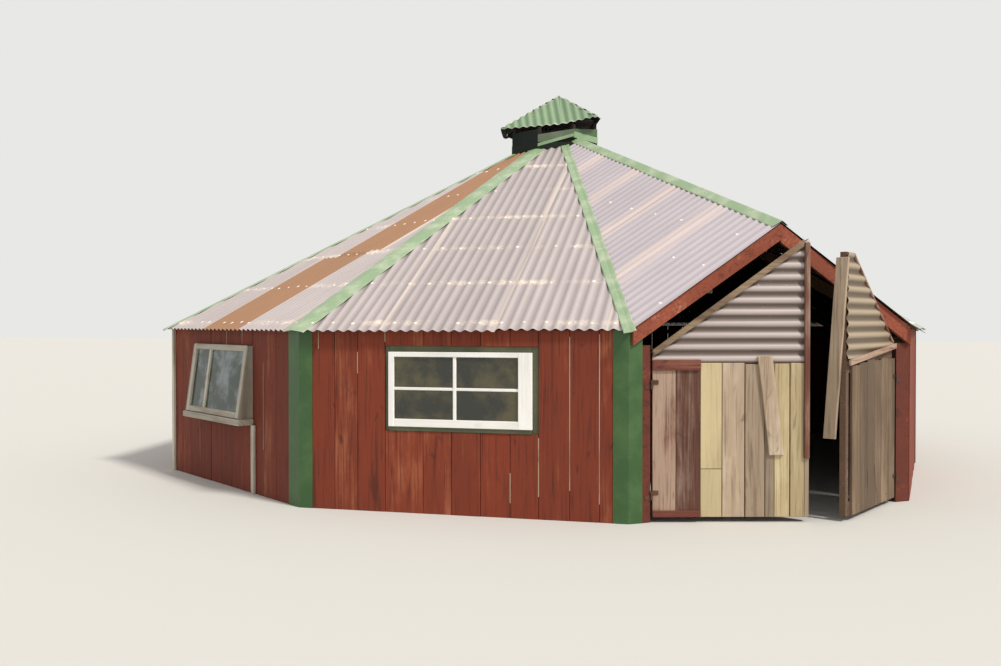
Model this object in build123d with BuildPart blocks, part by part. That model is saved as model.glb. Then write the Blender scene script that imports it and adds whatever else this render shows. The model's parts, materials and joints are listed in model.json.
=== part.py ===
from build123d import *
import math
import os

# A ten-sided timber-walled yurt under a corrugated roof: low board walls on a post frame,
# ten hips running up to a small vented cupola, and one side raised into a gable with a
# pair of outward-opening doors. The corners turn by equal angles round the middle, but
# four of them stand nearer to it, so the plan is a little narrower from side to side.
# The origin is on the ground at the middle, +Z is up and the wall with the white window
# faces -Y.

# Plan
sides = 10
corner_radius = 3750
waist_share = 0.901
shoulder_share = 0.933
front_facing = -90
entrance_index = 1
side_window_index = 9
turn = 360 / sides

# Walls
board_thickness = 25
board_drop = 31
post_width = 90
plate_depth = 45
plate_drop = 131
base_plate_width = 30
base_plate_clearance = 126
flashing_leg = 100
wide_flashing_leg = 155
flashing_thickness = 3
flashing_drop = 28

# Roof
eave_height = 1286
roof_rise = 1965
gable_rise = 723
sheet_depth = 18
eave_overhang = 60
gable_overhang = 36
sheet_gap = 14
rafter_width = 45
rafter_depth = 90
rafter_drop = 6
purlin_width = 70
purlin_depth = 35
eave_purlin_row = 150
middle_purlin_row = 1850
cap_flange = 60
cap_thickness = 4
cap_overhang = 30
ridge_cap_overhang = 8
hub_radius = 560
hub_wall = 230
hub_depth = 120

# Cupola: eight sides, a little off the middle, under a cap that sits askew
cupola_sides = 8
cupola_turn = -143.7
cupola_shift_x = -63
cupola_shift_y = -16
cupola_radius = 460
cupola_wall = 25
cupola_sill_drop = 64
cupola_post_width = 40
cupola_joint = 6
skirt_drop = 190
skirt_thickness = 4
soffit_thickness = 15
soffit_set_back = 20
soffit_joint = 0.3
cupola_cap_rise = 327
cupola_cap_lift = 28
cupola_cap_depth = 18
cupola_cap_tilt = 4.5
cap_tilt_axis = 14.7
cap_peak_shift = 75
cap_corners = [
    (-550, -200), (50, -420), (370, -450), (450, -330), (420, 380), (-100, 580), (-520, 320),
]

# Front window: fixed, four panes
front_window_centre = 12
front_window_width = 1023
front_window_head_drop = 164
front_window_height = 542
front_stile = 58
front_rail = 52
frame_depth = 80
frame_proud = 14
glass_thickness = 5

# Side window: one sash tilted out at the foot
side_window_centre = -110
side_window_width = 1030
side_window_head_drop = 163
side_window_height = 556
side_lining = 20
side_frame = 45
side_tilt = 8
side_cheek = 18
cheek_clearance = 0.4
sash_height = 560
sash_thickness = 35
sash_clearance = 0.3
sash_bar = 30
sash_bar_share = -0.17
sill_horn = 20
sill_thickness = 45
sill_projection = 125
batten_gap = 10
batten_width = 45
batten_thickness = 20
corner_batten_width = 42

# Entrance
barge_thickness = 25
barge_joint = 2
barge_end = 20
left_barge_depth = 110
right_barge_depth = 125
left_post_width = 159
right_post_width = 128

# Doors
door_gap = 6
meeting_gap = 8
right_meeting_gap = 17
meeting_offset = 42
door_bottom = 35
door_board = 22
ledge_thickness = 40
ledge_height = 90
stile_width = 50
door_sheet_depth = 18
door_batten = 18
door_middle_drop = 246
left_door_open = 21
left_sheet_low_drop = 184
left_sheet_high_drop = 158
left_batten_height = 46
left_batten_end_gap = 40
edge_strip = 34
edge_strip_foot = 420
edge_strip_drop = 187
loose_plank_width = 95
loose_plank_head = 736
loose_plank_foot = 812
loose_plank_bottom = 441
loose_plank_rise = 45
right_door_open = 30
right_sheet_low_drop = 126
right_sheet_high_drop = 244
right_sheet_shoulder = 830
right_boards_gap = 70
right_rail_hinge_drop = 161
right_rail_edge_drop = 226
edge_plank_thickness = 24
edge_plank_width = 80
edge_plank_lean = 85
edge_plank_foot = 540
edge_plank_drop = 280
pin_radius = 5
pin_clearance = 0.5
pin_stand_off = 10
knuckle_radius = 9
knuckle_height = 28
knuckle_gap = 1
hinge_plate = 4
hinge_plate_width = 45
lower_hinge_height = 180
upper_hinge_height = 900

# Worked out from the sizes above
half_turn = math.radians(turn / 2)
apothem = corner_radius * math.cos(half_turn)
half_side = corner_radius * math.sin(half_turn)
apex_height = eave_height + roof_rise
gable_peak_height = eave_height + gable_rise
eave_reach = 1 + eave_overhang / apothem
cupola_sill = apex_height - cupola_sill_drop
cupola_cap_eave = apex_height + cupola_cap_lift
board_top = eave_height - board_drop
flashing_top = eave_height - flashing_drop
plate_bottom = eave_height - plate_drop
plate_top = plate_bottom + plate_depth
front_window_bottom = eave_height - front_window_head_drop - front_window_height
side_window_bottom = eave_height - side_window_head_drop - side_window_height
left_jamb_edge = left_post_width - half_side
right_jamb_edge = half_side - right_post_width
shares = [1, 1, 1, waist_share, shoulder_share, 1, 1, shoulder_share, waist_share, 1]
corner_radii = [share * corner_radius for share in shares]


def at(radius, degrees, height=0.0):
    """A point at a radius and an angle round the middle of the building."""
    angle = math.radians(degrees)
    return Vector(radius * math.cos(angle), radius * math.sin(angle), height)


def wall_angle(index):
    """The direction that a wall faces."""
    return front_facing + index * turn


def corner_angle(index):
    """The direction of the corner at the left end of a wall, seen from outside."""
    return wall_angle(index) - turn / 2


def corner(index, height=0.0):
    """A corner of the walls' outer faces."""
    return at(corner_radii[index % sides], corner_angle(index), height)


def right_of(index):
    """The direction along a wall, to the right seen from outside."""
    return (corner(index + 1) - corner(index)).normalized()


def out_of(index):
    """The level direction out of a wall's face."""
    return right_of(index).cross(Vector(0, 0, 1))


def face_distance(index):
    """How far a wall's outer face is from the middle."""
    return corner(index).dot(out_of(index))


def wall_plane(index, inset=0.0):
    """A wall's plane: X to the right seen from outside, Y up, Z outward."""
    outward = out_of(index)
    return Plane(
        origin=outward * (face_distance(index) - inset), x_dir=right_of(index), z_dir=outward
    )


def wall_point(index, along, outward, height):
    """A point beside a wall: along it, out from its face and up."""
    out = out_of(index) * (face_distance(index) + outward)
    return out + right_of(index) * along + Vector(0, 0, height)


def mitre(index, inset):
    """The plan corner where two walls meet at a depth behind their faces."""
    left, right = out_of(index - 1), out_of(index)
    return corner(index) - (left + right) * (inset / (1 + left.dot(right)))


def reach_at(index, inset, width):
    """How far a piece of some width can run out towards a corner behind the walls."""
    run = at(1, corner_angle(index))
    reaches = []
    for wall in (index - 1, index):
        outward = out_of(wall)
        side = width / 2 * run.cross(outward).length
        reaches.append((face_distance(wall) - inset - side) / run.dot(outward))
    return min(reaches)


def hip_height(radius, index):
    """The height of the roof's upper surface on a hip."""
    return apex_height - radius * roof_rise / corner_radii[index % sides]


def hip_point(radius, index):
    """A point of the roof's upper surface on a hip."""
    return at(radius, corner_angle(index), hip_height(radius, index))


apex = Vector(0, 0, apex_height)
gable_peak = wall_point(entrance_index, 0, 0, gable_peak_height)
regular_walls = [index for index in range(sides) if index != entrance_index]


def facet_plane(index):
    """The upper surface of a regular roof facet: X along the eave, Y up the slope."""
    left, right = corner(index, eave_height), corner(index + 1, eave_height)
    normal = (right - left).cross(apex - left)
    return Plane(origin=(left + right) * 0.5, x_dir=right - left, z_dir=normal)


def gable_facet_plane(foot, side):
    """The upper surface of one roof facet of the gable: X up along the barge."""
    along = (gable_peak - foot) * side
    normal = (gable_peak - foot).cross(apex - foot) * side
    return Plane(origin=foot, x_dir=along, z_dir=normal)


left_corner = corner(entrance_index, eave_height)
right_corner = corner(entrance_index + 1, eave_height)
left_gable_plane = gable_facet_plane(left_corner, 1)
right_gable_plane = gable_facet_plane(right_corner, -1)


def facet_normal(index, side):
    """The normal of the roof beside a corner: index is the wall, side the part of the gable."""
    if index % sides != entrance_index:
        return facet_plane(index).z_dir
    return left_gable_plane.z_dir if side == "left" else right_gable_plane.z_dir


def sheet_drop(index):
    """How far the sheets' undersides are below the roof's surface at a corner, plumb."""
    normals = (facet_normal(index - 1, "right"), facet_normal(index, "left"))
    return sheet_depth / min(normal.Z for normal in normals)


def sheet_underside(index, radius):
    """The height of a facet's underside above the point at a radius square to its wall."""
    normal = facet_plane(index).z_dir
    point = at(radius, wall_angle(index))
    return apex_height - (point.dot(normal) + sheet_depth) / normal.Z


def finish(part, name):
    """Labels a finished piece and writes it out."""
    part.label = name
    export_step(part, f"parts/{name}.step")


def ring_outline(index, outer, inner, gap):
    """The four plan corners of a length mitred between two depths behind a wall's face."""
    back = right_of(index) * gap
    return [
        mitre(index, outer) + back,
        mitre(index + 1, outer) - back,
        mitre(index + 1, inner) - back,
        mitre(index, inner) + back,
    ]


def ring_segment(index, outer, inner, bottom, top):
    """A straight length of the ring of walls, mitred at its corners."""
    with BuildPart() as segment:
        with BuildSketch(Plane.XY.offset(bottom)):
            with BuildLine():
                Polyline(*ring_outline(index, outer, inner, 0), close=True)
            make_face()
        extrude(amount=top - bottom)
    return segment.part


os.makedirs("parts", exist_ok=True)

# Board walls, one panel to each side but the entrance
window_holes = {
    0: (front_window_centre, front_window_width, front_window_bottom, front_window_height),
    side_window_index: (
        side_window_centre, side_window_width,
        side_window_bottom - sill_thickness, side_window_height + sill_thickness,
    ),
}
wall_names = {
    0: "front_wall",
    2: "right_front_wall",
    3: "right_wall",
    4: "right_back_wall",
    5: "back_wall",
    6: "back_middle_wall",
    7: "left_back_wall",
    8: "left_wall",
    9: "side_window_wall",
}
for index in regular_walls:
    with BuildPart() as wall:
        add(ring_segment(index, 0, board_thickness, 0, board_top))
        if index in window_holes:
            centre, width, bottom, height = window_holes[index]
            with BuildSketch(wall_plane(index, -board_thickness)):
                with Locations((centre, bottom + height / 2)):
                    Rectangle(width, height)
            extrude(amount=-3 * board_thickness, mode=Mode.SUBTRACT)
    finish(wall.part, wall_names[index])

# Posts at the ten corners, turned to the middle of the building
with BuildPart() as corner_posts:
    for index in range(sides):
        radius = reach_at(index, board_thickness, post_width) - post_width / 2
        plane = Plane(origin=at(radius, corner_angle(index)), x_dir=at(1, corner_angle(index)))
        with BuildSketch(plane):
            Rectangle(post_width, post_width)
        extrude(amount=plate_bottom)
finish(corner_posts.part, "corner_posts")

# Plates under and over the boards, open at the doorway
with BuildPart() as base_plates:
    with BuildSketch():
        for index in regular_walls:
            plate_back = board_thickness + base_plate_width
            with BuildLine():
                Polyline(
                    *ring_outline(index, board_thickness, plate_back, base_plate_clearance),
                    close=True,
                )
            make_face()
    extrude(amount=plate_depth)
finish(base_plates.part, "base_plates")

with BuildPart() as wall_plates:
    for index in regular_walls:
        add(ring_segment(
            index, board_thickness, board_thickness + post_width, plate_bottom, plate_top,
        ))
finish(wall_plates.part, "wall_plates")

# Folded flashings over the corners of the boards
with BuildPart() as corner_flashings:
    for index in range(sides):
        if index in (entrance_index + 1, side_window_index):
            continue
        left_leg = wide_flashing_leg if index == 0 else flashing_leg
        left_face = corner(index) - right_of(index - 1) * left_leg
        right_face = corner(index) + right_of(index) * flashing_leg
        with BuildSketch():
            with BuildLine():
                Polyline(
                    left_face,
                    corner(index),
                    right_face,
                    right_face + out_of(index) * flashing_thickness,
                    mitre(index, -flashing_thickness),
                    left_face + out_of(index - 1) * flashing_thickness,
                    close=True,
                )
            make_face()
        extrude(amount=flashing_top)
finish(corner_flashings.part, "corner_flashings")

# Hip rafters: top edge under the sheets, seat cut level on the wall plates
with BuildPart() as hip_rafters:
    inner = hub_radius
    for index in range(sides):
        radius = corner_radii[index]
        drop = sheet_drop(index) + rafter_drop
        foot_drop = drop + rafter_depth / math.cos(math.atan2(roof_rise, radius))
        tail = reach_at(index, board_thickness, rafter_width)
        heel = (apex_height - foot_drop - plate_top) * radius / roof_rise
        plane = Plane(
            origin=(0, 0, 0),
            x_dir=at(1, corner_angle(index)),
            z_dir=at(1, corner_angle(index) - 90),
        )
        with BuildSketch(plane.offset(-rafter_width / 2)):
            with BuildLine():
                Polyline(
                    (inner, hip_height(inner, index) - drop),
                    (tail, hip_height(tail, index) - drop),
                    (tail, plate_top),
                    (heel, plate_top),
                    (inner, hip_height(inner, index) - foot_drop),
                    close=True,
                )
            make_face()
        extrude(amount=rafter_width)
finish(hip_rafters.part, "hip_rafters")

# The ring that the rafters meet at
with BuildPart() as roof_ring:
    ring_corner = hub_radius / math.cos(half_turn)
    ring_top = min(sheet_underside(index, ring_corner) for index in regular_walls) - rafter_drop
    with BuildSketch(Plane.XY.offset(ring_top - hub_depth)):
        RegularPolygon(ring_corner, sides, rotation=wall_angle(0))
        RegularPolygon(
            (hub_radius - hub_wall) / math.cos(half_turn),
            sides,
            rotation=wall_angle(0),
            mode=Mode.SUBTRACT,
        )
    extrude(amount=hub_depth)
finish(roof_ring.part, "roof_ring")

def sector(index, gap):
    """The plan wedge between two hips, set back from both."""
    facing = wall_angle(index)
    near = at(gap / math.sin(half_turn), facing)
    reach = 2 * corner_radius
    left = near + at(reach, corner_angle(index))
    right = near + at(reach, corner_angle(index + 1))
    return near, left, right


def between_hips(index, gap):
    """A tall wedge that keeps a piece between two hips."""
    with BuildPart() as wedge:
        with BuildSketch():
            with BuildLine():
                Polyline(*sector(index, gap), close=True)
            make_face()
        extrude(amount=2 * apex_height)
    return wedge.part


def purlin(index, up_slope):
    """A purlin of one facet, flush under its sheets and cut between the hip rafters."""
    with BuildPart() as length:
        with BuildSketch(facet_plane(index).offset(-sheet_depth)):
            with Locations((0, up_slope)):
                Rectangle(2 * half_side, purlin_width)
        extrude(amount=-purlin_depth)
        add(between_hips(index, rafter_width / 2), mode=Mode.INTERSECT)
    return length.part


for name, up_slope in (("eave_purlins", eave_purlin_row), ("middle_purlins", middle_purlin_row)):
    lengths = [purlin(index, up_slope) for index in regular_walls]
    with BuildPart() as purlins:
        add(lengths)
    finish(purlins.part, name)


def cupola_shaft(radius):
    """A tall prism on the cupola's eight sides, which cuts the roof round it."""
    with BuildPart() as shaft:
        with BuildSketch(cupola_plane):
            RegularPolygon(radius, cupola_sides, rotation=cupola_turn)
        extrude(amount=2 * apex_height)
    return shaft.part


cupola_plane = Plane(origin=(cupola_shift_x, cupola_shift_y, 0))
sheet_hole = cupola_shaft(cupola_radius + skirt_thickness + cupola_joint)
top_radius = hub_radius - hub_wall


def roof_sheet(index):
    """The sheets of one regular facet, from the eave to the cupola's foot."""
    plane = facet_plane(index)
    outline = [
        hip_point(corner_radii[index] * eave_reach, index),
        hip_point(corner_radii[(index + 1) % sides] * eave_reach, index + 1),
        hip_point(top_radius, index + 1),
        hip_point(top_radius, index),
    ]
    with BuildPart() as sheet:
        with BuildSketch(plane):
            with BuildLine():
                Polyline(*[plane.to_local_coords(point) for point in outline], close=True)
            make_face()
        extrude(amount=-sheet_depth)
        add(between_hips(index, sheet_gap), mode=Mode.INTERSECT)
        add(sheet_hole, mode=Mode.SUBTRACT)
    return sheet.part


# Roof sheets, one piece to each regular facet
sheet_pieces = [roof_sheet(index) for index in regular_walls]
with BuildPart() as roof_sheets:
    add(sheet_pieces)
finish(roof_sheets.part, "roof_sheets")

# The gable's two facets, which meet at its ridge
top_share = top_radius / corner_radius
gable_reach = 1 + gable_overhang / apothem
for name, foot, plane in (
    ("gable_roof_left", left_corner, left_gable_plane),
    ("gable_roof_right", right_corner, right_gable_plane),
):
    with BuildPart() as sheet:
        with BuildSketch(plane):
            outline = [
                apex + (foot - apex) * eave_reach,
                apex + (gable_peak - apex) * gable_reach,
                apex + (gable_peak - apex) * top_share,
                apex + (foot - apex) * top_share,
            ]
            with BuildLine():
                Polyline(*[plane.to_local_coords(point) for point in outline], close=True)
            make_face()
            offset(amount=-sheet_gap, kind=Kind.INTERSECTION, mode=Mode.REPLACE)
        extrude(amount=-sheet_depth)
        add(sheet_hole, mode=Mode.SUBTRACT)
    finish(sheet.part, name)


def cap_strip(start, end, left_normal, right_normal):
    """A folded cap along a roof line, its flanges lying on the sheets at both sides."""
    run = (end - start).normalized()
    to_right = right_normal.cross(run).normalized()
    to_left = run.cross(left_normal).normalized()
    section = Plane(origin=start, x_dir=(to_right - to_left), z_dir=run)
    left = section.to_local_coords(start + to_left * cap_flange)
    right = section.to_local_coords(start + to_right * cap_flange)
    with BuildPart() as cap:
        with BuildSketch(section):
            with BuildLine():
                Polyline(
                    (left.X, left.Y),
                    (0, 0),
                    (right.X, right.Y),
                    (right.X, right.Y + cap_thickness),
                    (0, cap_thickness),
                    (left.X, left.Y + cap_thickness),
                    close=True,
                )
            make_face()
        extrude(amount=(end - start).length)
    return cap.part


# Caps over the ten hips and the gable's ridge
hip_cap_pieces = []
for index in range(sides):
    start = hip_point(top_radius, index)
    end = hip_point(corner_radii[index] * eave_reach + cap_overhang, index)
    hip_cap_pieces.append(
        cap_strip(start, end, facet_normal(index - 1, "right"), facet_normal(index, "left"))
    )
with BuildPart() as hip_caps:
    add(hip_cap_pieces)
    add(sheet_hole, mode=Mode.SUBTRACT)
finish(hip_caps.part, "hip_caps")

ridge_start = apex + (gable_peak - apex) * (top_radius / apothem)
ridge_end = apex + (gable_peak - apex) * (gable_reach + ridge_cap_overhang / apothem)
ridge_cap_piece = cap_strip(ridge_start, ridge_end, left_gable_plane.z_dir, right_gable_plane.z_dir)
with BuildPart() as ridge_cap:
    add(ridge_cap_piece)
    add(sheet_hole, mode=Mode.SUBTRACT)
finish(ridge_cap.part, "ridge_cap")

# The gable's frame: a ridge beam from the ring to the peak and two rafters beside it
gable_slope = gable_rise / half_side
ridge_slope = (roof_rise - gable_rise) / apothem
gable_plane = wall_plane(entrance_index)
sheet_plumb = sheet_depth / left_gable_plane.z_dir.Z


def gable_board(depth, drop, outward, thickness, start, end, side):
    """A board under one slope of the gable, plumb cut at both ends."""
    peak = gable_peak_height - drop
    with BuildPart() as board:
        with BuildSketch(gable_plane.offset(outward)):
            with BuildLine():
                Polyline(
                    (side * start, peak - start * gable_slope),
                    (side * end, peak - end * gable_slope),
                    (side * end, peak - end * gable_slope - depth),
                    (side * start, peak - start * gable_slope - depth),
                    close=True,
                )
            make_face()
        extrude(amount=thickness)
    return board.part


ridge_radial = Plane(
    origin=(0, 0, 0),
    x_dir=at(1, wall_angle(entrance_index)),
    z_dir=at(1, wall_angle(entrance_index) - 90),
)
with BuildPart() as ridge_beam:
    ridge_top = apex_height - sheet_plumb - rafter_width / 2 * gable_slope
    seat = hub_radius - rafter_width
    with BuildSketch(ridge_radial.offset(-rafter_width / 2)):
        with BuildLine():
            Polyline(
                (seat, ridge_top - seat * ridge_slope),
                (apothem, ridge_top - apothem * ridge_slope),
                (apothem, ridge_top - apothem * ridge_slope - rafter_depth),
                (hub_radius, ridge_top - hub_radius * ridge_slope - rafter_depth),
                (hub_radius, ring_top),
                (seat, ring_top),
                close=True,
            )
        make_face()
    extrude(amount=rafter_width)
gable_rafters = [
    gable_board(
        rafter_depth, sheet_plumb + flashing_thickness * ridge_slope, flashing_thickness - rafter_width,
        rafter_width, rafter_width / 2, half_side - flashing_leg - rafter_width / 2, side,
    )
    for side in (-1, 1)
]
with BuildPart() as gable_frame:
    add([ridge_beam.part, *gable_rafters])
finish(gable_frame.part, "gable_frame")

# Barge boards on the gable's edges
barges = [
    gable_board(
        depth, sheet_plumb + (flashing_thickness + barge_thickness) * ridge_slope, flashing_thickness,
        barge_thickness,
        barge_joint / 2, half_side - barge_end, side,
    )
    for side, depth in ((-1, left_barge_depth), (1, right_barge_depth))
]
with BuildPart() as barge_boards:
    add(barges)
finish(barge_boards.part, "barge_boards")

# Posts at the two sides of the doorway
post_ends = [
    gable_plane.to_local_coords(mitre(index, board_thickness)).X
    for index in (entrance_index, entrance_index + 1)
]
with BuildPart() as door_posts:
    for low, high in (
        (post_ends[0], left_jamb_edge),
        (right_jamb_edge, post_ends[1]),
    ):
        with BuildSketch(gable_plane.offset(-board_thickness)):
            with Locations(((low + high) / 2, plate_bottom / 2)):
                Rectangle(high - low, plate_bottom)
        extrude(amount=board_thickness)
finish(door_posts.part, "door_posts")

# Cupola body: eight walls on the ring, and posts over them that leave an open vent
cap_tilt = math.radians(cupola_cap_tilt)
cap_plane = Plane(
    origin=(cupola_shift_x, cupola_shift_y, cupola_cap_eave),
    x_dir=at(math.cos(cap_tilt), cap_tilt_axis, math.sin(cap_tilt)),
    z_dir=at(math.sin(cap_tilt), cap_tilt_axis + 180, math.cos(cap_tilt)),
)
post_radius = cupola_radius - cupola_post_width / 2 * (1 + math.tan(math.pi / cupola_sides))
with BuildPart() as cupola_body:
    with BuildSketch(cupola_plane.offset(ring_top)):
        RegularPolygon(cupola_radius, cupola_sides, rotation=cupola_turn)
        RegularPolygon(
            cupola_radius - cupola_wall, cupola_sides, rotation=cupola_turn, mode=Mode.SUBTRACT
        )
    extrude(amount=cupola_sill - ring_top)
    with BuildSketch(cupola_plane.offset(cupola_sill)):
        with PolarLocations(post_radius, cupola_sides, start_angle=cupola_turn):
            Rectangle(cupola_post_width, cupola_post_width)
    extrude(amount=apex_height - cupola_sill)
    split(bisect_by=cap_plane.offset(-soffit_thickness - soffit_joint), keep=Keep.BOTTOM)
finish(cupola_body.part, "cupola_body")

# Skirt: a sheet collar round the body where it comes through the roof
with BuildPart() as cupola_skirt:
    with BuildSketch(cupola_plane.offset(ring_top)):
        RegularPolygon(cupola_radius + skirt_thickness, cupola_sides, rotation=cupola_turn)
        RegularPolygon(cupola_radius, cupola_sides, rotation=cupola_turn, mode=Mode.SUBTRACT)
    extrude(amount=apex_height - skirt_drop - ring_top)
finish(cupola_skirt.part, "cupola_skirt")

# Soffit board and cap, a low pyramid on unequal sides whose peak is off its middle
with BuildPart() as cupola_soffit:
    with BuildSketch(cap_plane.offset(-soffit_thickness - soffit_joint)):
        with BuildLine():
            Polyline(*cap_corners, close=True)
        make_face()
        offset(amount=-soffit_set_back, kind=Kind.INTERSECTION, mode=Mode.REPLACE)
    extrude(amount=soffit_thickness)
finish(cupola_soffit.part, "cupola_soffit")

with BuildSketch(cap_plane) as cap_base:
    with BuildLine():
        Polyline(*cap_corners, close=True)
    make_face()
with BuildSketch(cap_plane.offset(-cupola_cap_depth)) as cap_hollow:
    with BuildLine():
        Polyline(*cap_corners, close=True)
    make_face()
with BuildPart() as cupola_cap:
    cap_peak = cap_plane.from_local_coords((cap_peak_shift, 0, cupola_cap_rise))
    loft(sections=[cap_base.sketch.face(), Vertex(cap_peak)])
    hollow_peak = cap_plane.from_local_coords((cap_peak_shift, 0, cupola_cap_rise - cupola_cap_depth))
    loft(sections=[cap_hollow.sketch.face(), Vertex(hollow_peak)], mode=Mode.SUBTRACT)
finish(cupola_cap.part, "cupola_cap")


def window_layer(plane, centre, width, bottom, height, border, low, high):
    """A rectangular frame, or a pane with no border, between two depths of a plane."""
    with BuildPart() as layer:
        with BuildSketch(plane.offset(low)):
            with Locations((centre, bottom + height / 2)):
                Rectangle(width, height)
                if border:
                    Rectangle(width - 2 * border[0], height - 2 * border[1], mode=Mode.SUBTRACT)
        extrude(amount=high - low)
    return layer.part


# Front window: a frame through the wall and one sheet of glass
front_plane = wall_plane(0)
front_window = (front_window_centre, front_window_width, front_window_bottom, front_window_height)
front_frame_part = window_layer(
    front_plane, *front_window, (front_stile, front_rail), -frame_depth, frame_proud
)
with BuildPart() as front_window_frame:
    add(front_frame_part)
finish(front_window_frame.part, "front_window_frame")
front_glass_part = window_layer(
    front_plane, front_window_centre, front_window_width - 2 * front_stile,
    front_window_bottom + front_rail, front_window_height - 2 * front_rail, None,
    -glass_thickness, 0,
)
with BuildPart() as front_window_glass:
    add(front_glass_part)
finish(front_window_glass.part, "front_window_glass")

# Side window: a lining with a thick sill, and a sash hung at its head and pushed out
side_plane = wall_plane(side_window_index)
side_window = (side_window_centre, side_window_width, side_window_bottom, side_window_height)
lining = window_layer(side_plane, *side_window, (side_lining, side_lining), -frame_depth, 0)
sill_width = side_window_width + 2 * sill_horn
sash_top = side_window_bottom + side_window_height
sash_tilt = math.radians(side_tilt)
sash_width = side_window_width - 2 * (side_cheek + cheek_clearance)
cheek_reach = side_window_height * math.tan(sash_tilt) + sash_thickness / math.cos(sash_tilt)
cheeks = []
for end in (-1, 1):
    edge = side_window_centre + end * side_window_width / 2
    cheek_plane = Plane(
        origin=wall_point(side_window_index, edge, 0, 0),
        x_dir=side_plane.z_dir,
        z_dir=side_plane.x_dir * -1,
    )
    with BuildPart() as cheek:
        with BuildSketch(cheek_plane):
            with BuildLine():
                Polyline(
                    (0, side_window_bottom),
                    (cheek_reach, side_window_bottom),
                    (sash_thickness, sash_top),
                    (0, sash_top),
                    close=True,
                )
            make_face()
        extrude(amount=end * side_cheek)
    cheeks.append(cheek.part)
with BuildPart() as side_window_frame:
    add([lining, *cheeks])
    for width, depth in ((side_window_width, -frame_depth), (sill_width, sill_projection)):
        with BuildSketch(side_plane):
            with Locations((side_window_centre, side_window_bottom - sill_thickness / 2)):
                Rectangle(width, sill_thickness)
        extrude(amount=depth)
finish(side_window_frame.part, "side_window_frame")

sash_plane = Plane(
    origin=wall_point(side_window_index, side_window_centre, sash_clearance, sash_top),
    x_dir=side_plane.x_dir,
    z_dir=side_plane.z_dir * math.cos(sash_tilt) + Vector(0, 0, math.sin(sash_tilt)),
)
sash_part = window_layer(
    sash_plane, 0, sash_width, -sash_height, sash_height, (side_frame, side_frame),
    0, sash_thickness,
)
with BuildPart() as side_window_sash:
    add(sash_part)
    with BuildSketch(sash_plane):
        with Locations((sash_width * sash_bar_share, -sash_height / 2)):
            Rectangle(sash_bar, sash_height)
    extrude(amount=sash_thickness)
finish(side_window_sash.part, "side_window_sash")

sash_glass = window_layer(
    sash_plane, 0, sash_width - 2 * side_frame, side_frame - sash_height,
    sash_height - 2 * side_frame, None, sash_thickness / 2 - glass_thickness, sash_thickness / 2,
)
with BuildPart() as side_window_glass:
    add(sash_glass)
    add(side_window_sash.part, mode=Mode.SUBTRACT)
finish(side_window_glass.part, "side_window_glass")

# Battens nailed over the boards: one below the side window, one down the far corner
with BuildPart() as wall_batten:
    with BuildSketch(side_plane):
        batten_height = side_window_bottom - sill_thickness
        window_edge = side_window_centre + side_window_width / 2
        with Locations((window_edge + batten_gap + batten_width / 2, batten_height / 2)):
            Rectangle(batten_width, batten_height)
        corner_batten_height = board_top - batten_gap
        with Locations(((corner_batten_width - 2 * half_side) / 2, corner_batten_height / 2)):
            Rectangle(corner_batten_width, corner_batten_height)
    extrude(amount=batten_thickness)
finish(wall_batten.part, "wall_batten")


def leaf_frame(side, opening):
    """A leaf's frame at its hinge pin, turned open: the pin, the leaf's run and its outward face."""
    edge, sign = (left_jamb_edge, 1) if side == "left" else (right_jamb_edge, -1)
    facing = wall_angle(entrance_index)
    pin = wall_point(entrance_index, edge + sign * door_gap, pin_stand_off, 0)
    run = at(1, facing + sign * (90 - opening))
    outward = at(1, facing - sign * opening)
    return pin, run, outward, sign


def leaf_piece(side, outline, low, high):
    """A flat piece of a door leaf: its outline along and up the leaf, its depths from the face."""
    opening = left_door_open if side == "left" else right_door_open
    pin, run, outward, sign = leaf_frame(side, opening)
    plane = Plane(origin=pin, x_dir=run, z_dir=outward * sign)
    with BuildPart() as piece:
        with BuildSketch(plane.offset(sign * (low - pin_stand_off))):
            with BuildLine():
                Polyline(*outline, close=True)
            make_face()
        extrude(amount=sign * (high - low))
    return piece.part


def hinge_piece(side, opening, bore, bottom, height, reach, pin_height):
    """One half of a lift-off hinge: a knuckle round the pin and the plate that carries it."""
    pin, run, outward, sign = leaf_frame(side, opening)
    plane = Plane(origin=pin, x_dir=run, z_dir=(0, 0, 1))
    with BuildPart() as piece:
        with BuildSketch(plane.offset(bottom)):
            Circle(knuckle_radius)
            with Locations((reach / 2, sign * (pin_stand_off - hinge_plate / 2))):
                Rectangle(abs(reach), hinge_plate)
            if bore:
                Circle(bore, mode=Mode.SUBTRACT)
        extrude(amount=height)
        if pin_height:
            with BuildSketch(plane.offset(bottom + height)):
                Circle(pin_radius)
            extrude(amount=pin_height)
    return piece.part


def box_outline(left, right, bottom, top):
    """A rectangle from its edges."""
    return [(left, bottom), (right, bottom), (right, top), (left, top)]


left_width = meeting_offset - meeting_gap - left_jamb_edge - door_gap
right_width = right_jamb_edge - door_gap - right_meeting_gap - meeting_offset
behind = -door_board
back = behind - ledge_thickness
door_middle = eave_height - door_middle_drop
left_sheet_low = eave_height - left_sheet_low_drop
left_sheet_high = gable_peak_height - left_sheet_high_drop
right_sheet_low = eave_height - right_sheet_low_drop
right_sheet_high = gable_peak_height - right_sheet_high_drop
right_sheet_end = right_width - edge_plank_thickness
right_boards_end = right_sheet_end - right_boards_gap
right_rail_hinge = eave_height - right_rail_hinge_drop
right_rail_edge = eave_height - right_rail_edge_drop
hinge_heights = (lower_hinge_height, upper_hinge_height)

# Hinge pins on the door posts
pintles = [
    hinge_piece(side, 0, None, height - knuckle_height - knuckle_gap, knuckle_height,
                -hinge_plate_width, knuckle_height + knuckle_gap)
    for side in ("left", "right")
    for height in hinge_heights
]
with BuildPart() as door_pintles:
    add(pintles)
finish(door_pintles.part, "door_pintles")

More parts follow.
